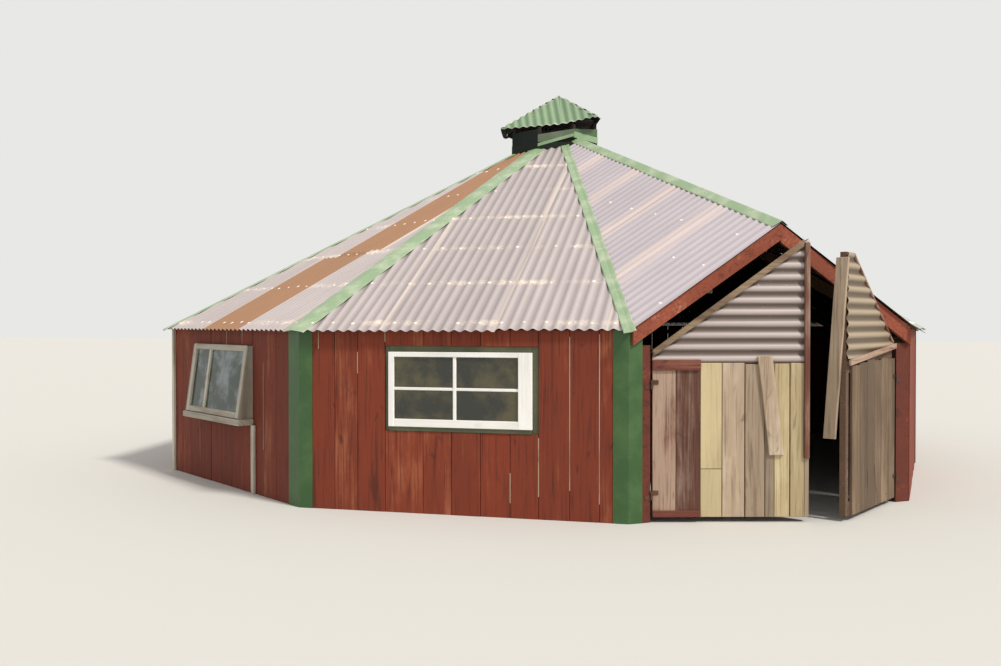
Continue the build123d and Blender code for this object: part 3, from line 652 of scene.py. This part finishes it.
# Board walls
window_holes = {
    0: (-0.517, 0.563, 0.562, 1.143),
    side_window: (-0.625, 0.405, 0.522, 1.123),
}
measured_seams = {
    0: (-0.892, -0.720, -0.517, -0.242, -0.038, 0.164, 0.370, 0.563, 0.773, 0.969),
    side_window: (-0.960, -0.790, -0.568, -0.365, -0.165, 0.063, 0.240, 0.404, 0.591, 0.800, 1.006),
}
wall_nodes = {
    0: "front_wall", 2: "right_front_wall", 3: "right_wall", 4: "right_back_wall", 5: "back_wall",
    6: "back_middle_wall", 7: "left_back_wall", 8: "left_wall", 9: "side_window_wall",
}
board_gap = 0.003
board_width = 0.2
least_board = 0.12
board_wander = 0.02
seam_strips = {
    0: (
        (-1.013, 1.12, 1.255), (-0.720, 0.95, 1.10), (-0.517, 1.17, 1.25), (0.5635, 0.15, 0.54),
        (0.773, 0.20, 1.21), (0.969, 0.12, 1.23), (0.370, 0.10, 0.30),
    ),
    side_window: ((-0.372, 1.13, 1.25), (-0.060, 1.13, 1.25), (0.228, 1.13, 1.25), (0.590, 0.35, 1.0)),
}


def board_wall(index):
    """One wall's vertical boards, cut round its window, with pale strips in some seams."""
    surface, node = walls[index], wall_nodes[index]
    left = surface.local(corner(index))[0]
    right = surface.local(corner(index + 1))[0]
    seams = list(measured_seams.get(index, ()))
    if not seams:
        x = left + board_width
        while x < right - least_board:
            seams.append(x + vary(-board_wander, board_wander))
            x += board_width
    edges = [left, *seams, right]
    shape = Shape()
    hole = window_holes.get(index)
    for a, b in zip(edges, edges[1:]):
        sections = [(a, b, 0.0, board_top)]
        if hole and a < hole[1] and b > hole[0]:
            low_x, high_x = max(a, hole[0]), min(b, hole[1])
            sections = [(low_x, high_x, 0.0, hole[2]), (low_x, high_x, hole[3], board_top)]
            if a < low_x:
                sections.append((a, low_x + board_gap, 0.0, board_top))
            if b > high_x:
                sections.append((high_x - board_gap, b, 0.0, board_top))
        # The side-window wall's boards are darkened to 0.82 as painted shade.
        shade = 0.82 if index == side_window else 1.0
        tint = (shade * vary(0.84, 1.06), vary(-0.3, 0.5))
        back = vary(0.0, 0.004)
        for x0, x1, z0, z1 in sections:
            outline = rect(x0 + board_gap / 2, x1 - board_gap / 2, z0, z1)
            shape.slab(surface, outline, -board_thickness, -back, 0.0025, tint)
    for x, z0, z1 in seam_strips.get(index, ()):
        strip = rect(x - board_gap, x + board_gap, z0, z1)
        shape.slab(surface, strip, -0.012, -0.001, 0.001, slot=1)
    shape.build(f"{node}_boards", [red_boards, grey_boards], node)


for index in wall_nodes:
    board_wall(index)

# Corrugated roof
sheet_width = waves_in_sheet * wave_pitch
sheets_each_way = 5
side_lap = 0.038
fastener_margin = 0.035
fastener_height = 0.006
fastener_share = 0.75


def spaced(first, width=sheet_width):
    """Edges of a row of whole sheets, one of them at first."""
    return [first + width * k for k in range(-sheets_each_way, sheets_each_way + 1)]


def lay(courses, light=1.0, rusty=()):
    """The sheets of some courses; a course is (bottom, top, edges across the slope)."""
    sheets = []
    for course, (bottom, top, edges) in enumerate(courses):
        for left, right in zip(edges, edges[1:]):
            rust = 0.62 if any(abs(left - x) < 0.01 and course == k for k, x in rusty) else 0.0
            shade = light * vary(0.95, 1.04)
            sheets.append((left, right + side_lap, bottom, top, shade, rust + vary(-0.1, 0.08)))
    return sheets


def fasteners(shape, surface, outline, rows, every=2):
    """Rows of domed heads on the crests inside an outline; some are missing. The heads take the second
    finish, whose near white is a painted highlight.
    """
    inner = inset(outline, fastener_margin)
    low, high = min(p[0] for p in inner), max(p[0] for p in inner)
    for row, y in enumerate(rows):
        for k in range(ceil(low / wave_pitch), floor(high / wave_pitch) + 1):
            span = span_at(inner, k * wave_pitch)
            fixed = (k + row) % every == 0 and chance.random() < fastener_share
            if fixed and span and span[0] < y < span[1]:
                size = vary(0.010, 0.017)
                across = y + vary(-0.012, 0.012)
                shape.rivet(surface, k * wave_pitch, across, 0.0, size, fastener_height, 1)


hip_gap = 0.014
cupola_centre = Vector((-0.063, -0.016, 0))
cupola_radius = 0.460
cupola_joint = 0.006
cupola_turn = -143.7
cupola_sides = 8
face_turn = 360 / cupola_sides
sheet_hole_radius = 0.476
end_row = 0.03
row_step = 0.605
fastener_rows = [end_row + row_step * k for k in range(6)]


def clears_cupola(point, radius):
    """Whether a point lies outside an octagon of a radius round the cupola's middle."""
    away = point - cupola_centre
    angle = degrees(atan2(away.y, away.x)) - cupola_turn
    bend = radians((angle + 720) % face_turn - face_turn / 2)
    flat = radius * cos(radians(face_turn / 2))
    return hypot(away.x, away.y) * cos(bend) > flat


def hole_reach(surface, x):
    """How far up a facet the sheets run before they meet the cupola, found by halving."""
    low, high = 0.0, 4.0
    for _ in range(24):
        middle = (low + high) / 2
        if clears_cupola(surface.point(x, middle), sheet_hole_radius):
            low = middle
        else:
            high = middle
    return low


regular_roof = Shape()
top_radius = 0.2
courses_of = {
    0: [(-1, 1.84, spaced(0.240, 0.775)), (1.76, 9, spaced(0.225, 0.775))],
    side_window: [(-1, 1.30, spaced(-0.41)), (1.22, 9, spaced(-0.210, 0.67))],
}
for index in range(sides):
    if index == entrance:
        continue
    surface = facet_surface(index)
    after = index + 1
    corners = [
        hip_point(hip_radius(index) * eave_reach, index), hip_point(hip_radius(after) * eave_reach, after),
        hip_point(top_radius, after), hip_point(top_radius, index),
    ]
    outline = inset([surface.local(point) for point in corners], [0, hip_gap, 0, hip_gap])
    plain = [(-1, 1.84, spaced(vary(0, 0.6))), (1.76, 9, spaced(vary(0, 0.6)))]
    rusty = {side_window: ((0, -0.41), (1, -0.210))}.get(index, ())
    light = {side_window: 1.04, 0: 0.99}.get(index, 1.0)
    sheets = lay(courses_of.get(index, plain), light, rusty)
    if index == 0:
        sheets = [
            (left, right, -0.046 if left > 0.2 and low < 0 else low, high, light, rust)
            for left, right, low, high, light, rust in sheets
        ]
    regular_roof.corrugated(surface, outline, sheets, limit=lambda x: hole_reach(surface, x))
    fasteners(regular_roof, surface, outline, fastener_rows)
regular_roof.build(
    "corrugated_roof", [roof_sheet, fastener_white_highlight, shaded_bare_steel], "roof_sheets"
)


def gable_surface(foot):
    """One facet of the gable's roof: y runs up along the barge."""
    up = (gable_peak - foot).normalized()
    out = up.cross(apex - foot).normalized()
    if out.z < 0:
        out = -out
    return Surface(foot, up.cross(out), up)


gable_feet = {"left": corner(entrance, eave_height), "right": corner(entrance + 1, eave_height)}
gable_faces = {name: gable_surface(foot) for name, foot in gable_feet.items()}
for name, foot in gable_feet.items():
    surface = gable_faces[name]
    corners = [
        apex + (foot - apex) * eave_reach, apex + (gable_peak - apex) * gable_reach,
        apex + (gable_peak - apex) * 0.132, apex + (foot - apex) * 0.128,
    ]
    outline = inset([surface.local(point) for point in corners], [0, hip_gap, 0, hip_gap])
    facing = 1 if surface.along.dot(at(1, wall_angle(entrance))) > 0 else -1
    edges = sorted(facing * x for x in (0.30, -0.63, -1.30, -1.95, -2.62, -3.4))
    shape = Shape()
    shape.corrugated(surface, outline, lay([(-9, 9, edges)], 1.02), depth=0.009, edge_width=0.34)
    fasteners(shape, surface, outline, (0.28, 0.72, 1.12), 4)
    gable_finishes = [gable_sheet, fastener_white_highlight, shaded_bare_steel]
    shape.build(f"gable_sheets_{name}", gable_finishes, f"gable_roof_{name}")

# Caps over the hips and the gable's ridge
plain_flanges = (0.060, 0.060)
cap_flanges = {0: (0.095, 0.105), 1: (0.050, 0.036)}
ridge_flanges = (0.085, 0.060)
cap_overhang = 0.028
wide_cap_overhang = 0.012
ridge_cap_overhang = 0.008


def roof_normal(index, gable_side):
    """The normal of the roof beside a corner."""
    index %= sides
    return gable_faces[gable_side].out if index == entrance else facet_surface(index).out


def cap_start(tip):
    """Where the line from a roof corner to the apex meets the cupola."""
    away = Vector((tip.x, tip.y, 0)).normalized()
    reach = top_radius
    while not clears_cupola(away * reach, cupola_radius + cupola_joint):
        reach += 0.002
    share = reach / hypot(tip.x, tip.y)
    return apex + (tip - apex) * share


caps = Shape()
for index in range(sides):
    overhang = cap_overhang if index else wide_cap_overhang
    tip = hip_point(hip_radius(index) * eave_reach + overhang, index)
    normals = roof_normal(index - 1, "right"), roof_normal(index, "left")
    caps.folded(cap_start(tip), tip, *normals, cap_flanges.get(index, plain_flanges))
caps.build("hip_cap_sheets", [cap_metal], "hip_caps")
ridge_tip = apex + (gable_peak - apex) * (gable_reach + ridge_cap_overhang / apothem)
ridge = Shape()
ridge_normals = gable_faces["left"].out, gable_faces["right"].out
ridge.folded(cap_start(ridge_tip), ridge_tip, *ridge_normals, ridge_flanges, 0.9)
ridge.build("ridge_cap_sheet", [cap_metal], "ridge_cap")

# Cupola body: a board to each of its eight faces, posts in the vent and a collar at the foot
right_hand = 14.7
cap_lean = 0.0787
cupola_foot = 2.870
sill_height = 3.187
slanting_sill = 3.163
sill_slant = 0.16
cap_lift = 0.028
soffit_depth = 0.0155
body = Shape()
# Faces 0, 4, 6 and 7 take the near-black teal as painted shade.
body_slots = (0, 1, 2, 2, 0, 1, 0, 0)
for k in range(cupola_sides):
    left = cupola_centre + at(cupola_radius, cupola_turn + face_turn * k)
    right = cupola_centre + at(cupola_radius, cupola_turn + face_turn * (k + 1))
    surface = Surface((left + right) / 2, right - left, (0, 0, 1))
    half = (right - left).length / 2
    tops, heads = [], []
    for spot in (left, right):
        across = (spot - cupola_centre).dot(at(1, right_hand))
        tops.append(sill_height if k in (0, 4, 5, 6, 7) else slanting_sill + sill_slant * across)
        tucked = 0.040 if k in (1, 2) else 0.0
        heads.append(apex.z + cap_lift + cap_lean * across - soffit_depth - tucked)
    collar = (3.017, 3.116) if k == 1 else (3.104, 3.085) if k == 2 else None
    foot = collar or (cupola_foot, cupola_foot)
    outline = [(-half, foot[0]), (half, foot[1]), (half, tops[1]), (-half, tops[0])]
    tint = (vary(0.94, 1.04), 0)
    body.slab(surface, outline, -board_thickness, 0.0, eased, tint, slot=body_slots[k])
    # The vent's posts and the strip below the collar take the dark soffit wood as painted shade.
    post = rect(-half + 0.004, -half + 0.038, tops[0] - 0.01, heads[0])
    body.slab(surface, post, -0.040, -0.008, slot=3)
    if collar:
        below = [(-half, cupola_foot), (half, cupola_foot), (half, foot[1] + 0.01), (-half, foot[0] + 0.01)]
        body.slab(surface, below, -0.040, -0.026, slot=3)
        width = 0.030 * k
        band = [(-half, foot[0]), (half, foot[1]), (half, foot[1] + width), (-half, foot[0] + width)]
        body.slab(surface, band, 0.0, 0.006, slot=4)
body_finishes = [cupola_painted_shade, cupola_pale, cupola_green, soffit_painted_shade, collar_green]
body.build("cupola_boards", body_finishes, "cupola_body")

# Cupola cap: seven corrugated triangles on unequal sides, askew
cap_foot = cupola_centre + Vector((0, 0, apex.z + cap_lift))
cap_tilt = radians(4.5)
cap_x = at(cos(cap_tilt), right_hand, sin(cap_tilt))
cap_z = at(sin(cap_tilt), right_hand + 180, cos(cap_tilt))
cap_y = cap_z.cross(cap_x)
cap_corners = (
    (-0.550, -0.200, 0), (0.050, -0.415, -0.040), (0.370, -0.450, 0), (0.450, -0.330, 0.004),
    (0.420, 0.380, 0), (-0.100, 0.580, 0), (-0.520, 0.320, 0),
)
cap_ring = [cap_foot + cap_x * x + cap_y * y + cap_z * z for x, y, z in cap_corners]
cap_peak_shift = 0.075
cap_rise = 0.327
cap_peak = cap_foot + cap_x * cap_peak_shift + cap_z * cap_rise
cap_shape = Shape()
for k, left in enumerate(cap_ring):
    right = cap_ring[(k + 1) % len(cap_ring)]
    surface = Surface((left + right) / 2, right - left, cap_peak - left)
    if abs(surface.out.dot(cap_x)) < 0.62:
        upward = surface.out.cross(cap_x)
        upward = upward if upward.z > 0 else -upward
        surface = Surface(surface.origin, upward.cross(surface.out), upward)
    outline = [surface.local(point) for point in (left, right, cap_peak)]
    sheet = (-0.8, 0.8, -1, 1, vary(0.95, 1.05), 0.0)
    # The rim paints a pale highlight along the cap's edges.
    cap_shape.corrugated(surface, outline, [sheet], depth=0.015, rows=6, rim_highlight=0.9)
cap_shape.build("corrugated_cap", [cap_waves, cap_painted_shade], "cupola_cap")

soffit = Shape()
soffit_share = 0.81
soffit_outline = [
    (x + (1 - soffit_share) * (cap_peak_shift - x), soffit_share * y) for x, y, z in cap_corners
]
# The soffit board's dark brown is painted shade under the cap.
soffit.slab(Surface(cap_foot, cap_x, cap_y), soffit_outline, -soffit_depth, -0.001)
soffit.build("cupola_soffit_board", [soffit_painted_shade], "cupola_soffit")

# Front window: stiles and rails, a cross of bars, and the dark trim in the gap beside it, partly painted
# shade of the gap
front = walls[0]
hole_left, hole_right, hole_foot, hole_head = window_holes[0]
left, right, bottom, top = -0.488, 0.521, 0.592, 1.103
pane_left, pane_right, pane_foot, pane_head = left + 0.040, right - 0.093, bottom + 0.053, top - 0.034
bar_left, bar_right, bar_foot, bar_head = -0.027, -0.003, 0.842, 0.862
frame_back = -0.080
bar_back = -0.030
window = Shape()
stiles = rect(left, pane_left, bottom, top), rect(pane_right, right, bottom, top)
rails = (
    rect(pane_left, pane_right, bottom, pane_foot), rect(pane_left, pane_right, pane_head, top),
)
cross = (
    rect(pane_left, bar_left, bar_foot, bar_head),
    rect(bar_right, pane_right, bar_foot, bar_head),
)
window.slabs(front, stiles, frame_back, 0.014, eased)
window.slabs(front, rails, frame_back, 0.012, eased, (0.97, 0), "x")
window.slab(front, rect(bar_left, bar_right, pane_foot, pane_head), bar_back, 0.006, eased)
window.slabs(front, cross, bar_back, 0.004, eased, (0.98, 0), "x")
window.build("front_window_joinery", [white_paint], "front_window_frame")

window_trim = Shape()
beside = (
    rect(right, hole_right, hole_foot, hole_head), rect(hole_left, left, hole_foot, hole_head),
)
window_trim.slabs(front, beside, bar_back, -0.012)
window_trim.slab(front, rect(left, right, top, hole_head), bar_back, -0.010)
window_trim.slab(front, rect(left, right, hole_foot, bottom), bar_back, 0.004)
window_trim.build("front_window_trim", [trim_and_gap_shade])

# Side window: lining, sill, cheeks, and the sash pushed out at its foot
side = walls[side_window]
left, right, bottom, top = -0.625, 0.405, 0.567, 1.123
lining_board = 0.02
pane_left, pane_right = left + lining_board, right - lining_board
lining_tint = (0.72, 0)
lining = Shape()
jambs = rect(left, pane_left, bottom, top), rect(pane_right, right, bottom, top)
levels = (
    rect(pane_left, pane_right, top - lining_board, top),
    rect(pane_left, pane_right, bottom, bottom + lining_board),
)
lining.slabs(side, jambs, frame_back, 0.0, tint=lining_tint)
lining.slabs(side, levels, frame_back, 0.0, tint=lining_tint, grain="x")
sill_face = Surface(side.point(0, bottom), side.along, -side.out)
sill_thickness = 0.045
sill = rect(left - 0.02, right + 0.02, -0.125, 0.0)
lining.slab(sill_face, sill, -sill_thickness, 0.0, 0.006, (0.74, 0.3), "x")
inner_sill = rect(left, right, 0.0, 0.080)
lining.slab(sill_face, inner_sill, -sill_thickness, 0.0, tint=(0.85, 0.3), grain="x")
cheek_thickness = 0.018
cheek = [(0, bottom), (0.1128, bottom), (0.035, top), (0, top)]
for x0 in (left, right - cheek_thickness):
    end_face = Surface(side.point(x0, 0), side.out, (0, 0, 1))
    lining.slab(end_face, cheek, -cheek_thickness, 0.0, tint=(0.62, 0.3))
lining.build("side_window_lining", [cream], "side_window_frame")

sash_tilt = radians(8)
sash_head = side.point((left + right) / 2, top, 0.0003)
sash_up = Vector((0, 0, cos(sash_tilt))) - side.out * sin(sash_tilt)
sash_face = Surface(sash_head, side.along, sash_up)
sash = Shape()
width, height, member = 0.9932, 0.560, 0.045
light_left, light_right = member - width / 2, width / 2 - member
stiles = rect(-width / 2, light_left, -height, 0), rect(light_right, width / 2, -height, 0)
rails = (
    rect(light_left, light_right, -height, member - height),
    rect(light_left, light_right, -member, 0),
)
sash.slabs(sash_face, stiles, 0, 0.035, eased, (0.86, 0.2))
sash.slabs(sash_face, rails, 0, 0.033, eased, (0.78, 0.3), "x")
sash_bar = rect(-0.184, -0.154, member - height, -member)
sash.slab(sash_face, sash_bar, 0.002, 0.033, eased, (1, 0.1))
sash.build("side_window_joinery", [cream], "side_window_sash")

batten = Shape()
batten_depth = 0.020
batten.slab(side, rect(0.415, 0.460, 0.0, 0.522), 0.0, batten_depth, eased, (0.95, 0.2))
corner_batten = rect(-half_side, 0.042 - half_side, 0.0, 1.245)
batten.slab(side, corner_batten, 0.0, batten_depth, eased, (1.1, 0.0))
batten.build("side_wall_batten", [cream], "wall_batten")


# Doors
def leaf_surface(side_name):
    """A leaf's outer face as it stands open, from its hinge pin; x runs away from the pin."""
    edge, sign, opening = (-1.0, 1, 21) if side_name == "left" else (1.031, -1, 30)
    stand_off = 0.010
    pin_inset = 0.006
    pin = walls[entrance].point(edge + sign * pin_inset, 0, stand_off)
    facing = wall_angle(entrance)
    run = at(1, facing + sign * (90 - opening))
    outward = at(1, facing - sign * opening)
    surface = Surface(pin - outward * stand_off, run, (0, 0, 1))
    surface.out = outward
    surface.up = Vector((0, 0, 1))
    return surface, pin


left_leaf, left_pin = leaf_surface("left")
right_leaf, right_pin = leaf_surface("right")
door_back = -0.022
door_gap = 0.006
door_foot = 0.035
hinge_heights = (0.180, 0.900)
knuckle_height = 0.028
trim_depth = 0.018


def knuckles(shape, surface, pin, slot):
    """The strap hinges that turn on the pins."""
    for foot in hinge_heights:
        head = foot + knuckle_height
        shape.tube(pin + Vector((0, 0, foot)), pin + Vector((0, 0, head)), 0.009, slot)
        shape.slab(surface, rect(0.0, 0.045, foot, head), 0.0, 0.004, 0.001, slot=slot)


worn_red = wood("worn_red_boards", (112, 68, 52), (162, 136, 118), (70, 38, 30), 0.68)
dull_red = wood("dull_red_trim", (116, 58, 44), (150, 100, 78), (62, 30, 22), 0.5)
cream_boards = wood("cream_boards", (202, 184, 144), (188, 172, 134), (144, 126, 90), 0.3, 0.8, 0.3)
yellow_boards = wood("yellow_boards", (190, 170, 130), (206, 190, 154), (120, 100, 66), 0.5)
left_width = 1.028
boards_head = 1.040
# Left, right, lightness, wear and finish of each board, then any foot and head of its own
left_board_rows = (
    (door_gap, 0.158, 1.14, 0.5, 0), (0.160, 0.317, 0.72, 0.1, 0),
    (0.320, 0.458, 1.0, 0.0, 1, 0.350, boards_head), (0.320, 0.458, 0.93, 0.2, 1, door_foot, 0.346),
    (0.462, 0.606, 1.02, 0.2, 2), (0.612, 0.738, 0.82, 0.1, 2, door_foot, 1.032),
    (0.742, 0.799, 0.62, 0.2, 2), (0.802, 0.900, 0.98, 0.2, 3, door_foot, 1.036),
    (0.906, 0.996, 0.84, 0.1, 3), (0.998, left_width, 0.8, 0.2, 2),
)
left_boards = Shape()
for x0, x1, light, wear, slot, *ends in left_board_rows:
    outline = rect(x0, x1, *(ends or (door_foot, boards_head)))
    face = -vary(0, 0.003)
    left_boards.slab(left_leaf, outline, door_back, face, eased, (light, wear), slot=slot)
knuckles(left_boards, left_leaf, left_pin, 4)
left_finishes = [worn_red, cream_boards, grey_boards, yellow_boards, hinge_iron]
left_boards.build(
    "left_door_planks", left_finishes, "left_door_boards", "left_door"
)


def door_sheet(leaf, outline, reach, finish, door):
    """A leaf's corrugated sheet, its waves along the leaf; its outline has heights first."""
    face = Surface(leaf.origin, (0, 0, 1), leaf.along)
    face.out = leaf.out
    shape = Shape()
    sheets = [(1.0, reach, -1, 2, 1.0, 0.05)]
    shape.corrugated(face, outline, sheets, depth=0.016, top=-0.004, rows=6)
    shape.build(f"{door}_corrugated", [finish], f"{door}_sheet", door)


sheet_foot, sheet_low, sheet_high = 1.030, 1.102, 1.851
left_slope = (sheet_high - sheet_low) / (left_width - door_gap)
left_outline = [
    (sheet_foot, door_gap), (sheet_foot, left_width), (sheet_high, left_width), (sheet_low, door_gap),
]
door_sheet(left_leaf, left_outline, 1.9, door_metal, "left_door")

trim = Shape()
batten_end, half_batten, rail_end, rail_depth = 0.988, 0.023, 0.318, 0.014
batten_low, batten_high = sheet_low, sheet_low + (batten_end - door_gap) * left_slope
sloping_batten = [
    (door_gap, batten_low - half_batten), (batten_end, batten_high - half_batten),
    (batten_end, batten_high + half_batten), (door_gap, batten_low + half_batten),
]
loose_plank = [(0.7645, 0.441), (0.8595, 0.441), (0.7835, 1.085), (0.6885, 1.085)]
edge_strip = rect(0.994, left_width, 0.420, 1.822)
upper_rail = rect(door_gap, rail_end, 0.992, 1.060)
lower_rail = rect(door_gap, rail_end, 0.036, 0.078)
for outline, low, high, tint, grain, slot in (
    (sloping_batten, -0.004, trim_depth, (1.08, 0.3), "x", 0),
    (edge_strip, 0.0, trim_depth, (1, 0.1), "y", 1), (loose_plank, 0.0, trim_depth, (1, 0.3), "y", 3),
    (upper_rail, 0.0, rail_depth, (1, 0.2), "x", 2), (lower_rail, 0.0, rail_depth, (0.9, 0.2), "x", 2),
):
    trim.slab(left_leaf, outline, low, high, eased, tint, grain, slot)
trim_finishes = [brown_boards, worn_red, dull_red, grey_boards]
trim.build("left_door_battens", trim_finishes, "left_door_trim", "left_door")

right_width = 0.942
right_board_step = 0.1445
right_board_width = 0.141
right_boards = Shape()
for k in range(6):
    x0 = door_gap + k * right_board_step
    # The boards' lightness of 0.60 to 0.92 is painted shade.
    tint = (vary(0.60, 0.92), vary(0, 0.4))
    head = 1.060 + vary(-0.045, 0.0)
    outline = rect(x0, x0 + right_board_width, door_foot, head)
    right_boards.slab(right_leaf, outline, door_back, -vary(0, 0.003), eased, tint)
rail = [(door_gap, 1.115), (right_width, 1.022), (right_width, 1.060), (door_gap, 1.153)]
right_boards.slab(right_leaf, rail, 0.0, rail_depth, eased, (1.15, 0.5), "x", 2)
sloping_strip = [(0.022, 1.152), (0.838, 1.751), (0.827, 1.762), (0.008, 1.161)]
right_boards.slab(right_leaf, sloping_strip, -0.014, -0.004, tint=(1.1, 0.3), grain="x", slot=2)
knuckles(right_boards, right_leaf, right_pin, 1)
right_finishes = [brown_boards, hinge_iron, worn_red]
right_boards.build(
    "right_door_planks", right_finishes, "right_door_boards", "right_door"
)

right_outline = [
    (1.125, door_gap), (1.060, right_width), (1.765, right_width), (1.765, 0.830), (1.160, door_gap),
]
door_sheet(right_leaf, right_outline, 1.8, olive_metal, "right_door")

edge_face = Surface(right_leaf.point(right_width, 0), right_leaf.out, (0, 0, 1))
edge_face.out = right_leaf.along
edge_plank = Shape()
plank = [(-0.165, 0.540), (-0.085, 0.540), (0.0, 1.729), (-0.080, 1.729)]
edge_plank.slab(edge_face, plank, 0.0, 0.024, eased, (0.98, 0.2))
edge_plank.build(
    "right_door_edge_plank", [grey_boards], "right_door_plank", "right_door"
)

# Offcuts left under the gable's left rafter
offcuts = Shape()
scraps = rect(-0.524, -0.461, 1.500, 1.600), rect(-0.077, -0.016, 1.797, 1.865)
offcuts.slabs(walls[entrance], scraps, -0.116, -0.100, eased, (1.1, 0.4))
offcuts.build("gable_offcuts", [grey_boards])

# Floor, light and camera
floor_mesh = bpy.data.meshes.new("floor")
reach = 60
floor_corners = [(x, y, 0) for x, y in rect(-reach, reach, -reach, reach)]
floor_mesh.from_pydata(floor_corners, [], [(0, 1, 2, 3)])
floor_finish = Finish("pale_floor", 0.9)
floor_finish.fill("Base Color", (214, 212, 206))
floor_mesh.materials.append(floor_finish.material)
ground = placed("floor", floor_mesh)

world = bpy.data.worlds.new("studio")
scene.world = world
world.use_nodes = True
sky = Nodes(world.node_tree)
light = sky.tree.nodes["Background"]
sky.join((0.97, 0.97, 0.97, 1), light.inputs["Color"])
sky.join(0.62, light.inputs["Strength"])
pale = sky.node("Background", Color=(232, 232, 230), Strength=1.0)
rays = sky.node("LightPath").outputs
seen = sky.maths("MAXIMUM", rays["Is Glossy Ray"], rays["Is Transmission Ray"])
seen = sky.maths("MAXIMUM", rays["Is Camera Ray"], seen)
mixed = sky.node("MixShader")
sky.join(seen, mixed.inputs[0])
sky.join(light.outputs[0], mixed.inputs[1])
sky.join(pale.outputs[0], mixed.inputs[2])
sky.join(mixed.outputs[0], sky.tree.nodes["World Output"].inputs["Surface"])

sun_data = bpy.data.lights.new("sun", "SUN")
sun_data.energy = 2.7
sun_data.angle = radians(9)
sun_data.color = (1.0, 0.96, 0.9)
placed("sun", sun_data).rotation_euler = Euler((radians(42), 0, radians(62)))

camera_data = bpy.data.cameras.new("camera")
camera_data.sensor_width = 36
camera_data.lens = 35.86
camera = placed("camera", camera_data)
camera.location = (1.99, -9.99, 1.31)
camera.rotation_euler = Euler((radians(90 - 0.66), 0, radians(14.7)))
scene.camera = camera
scene.view_settings.view_transform = "Standard"
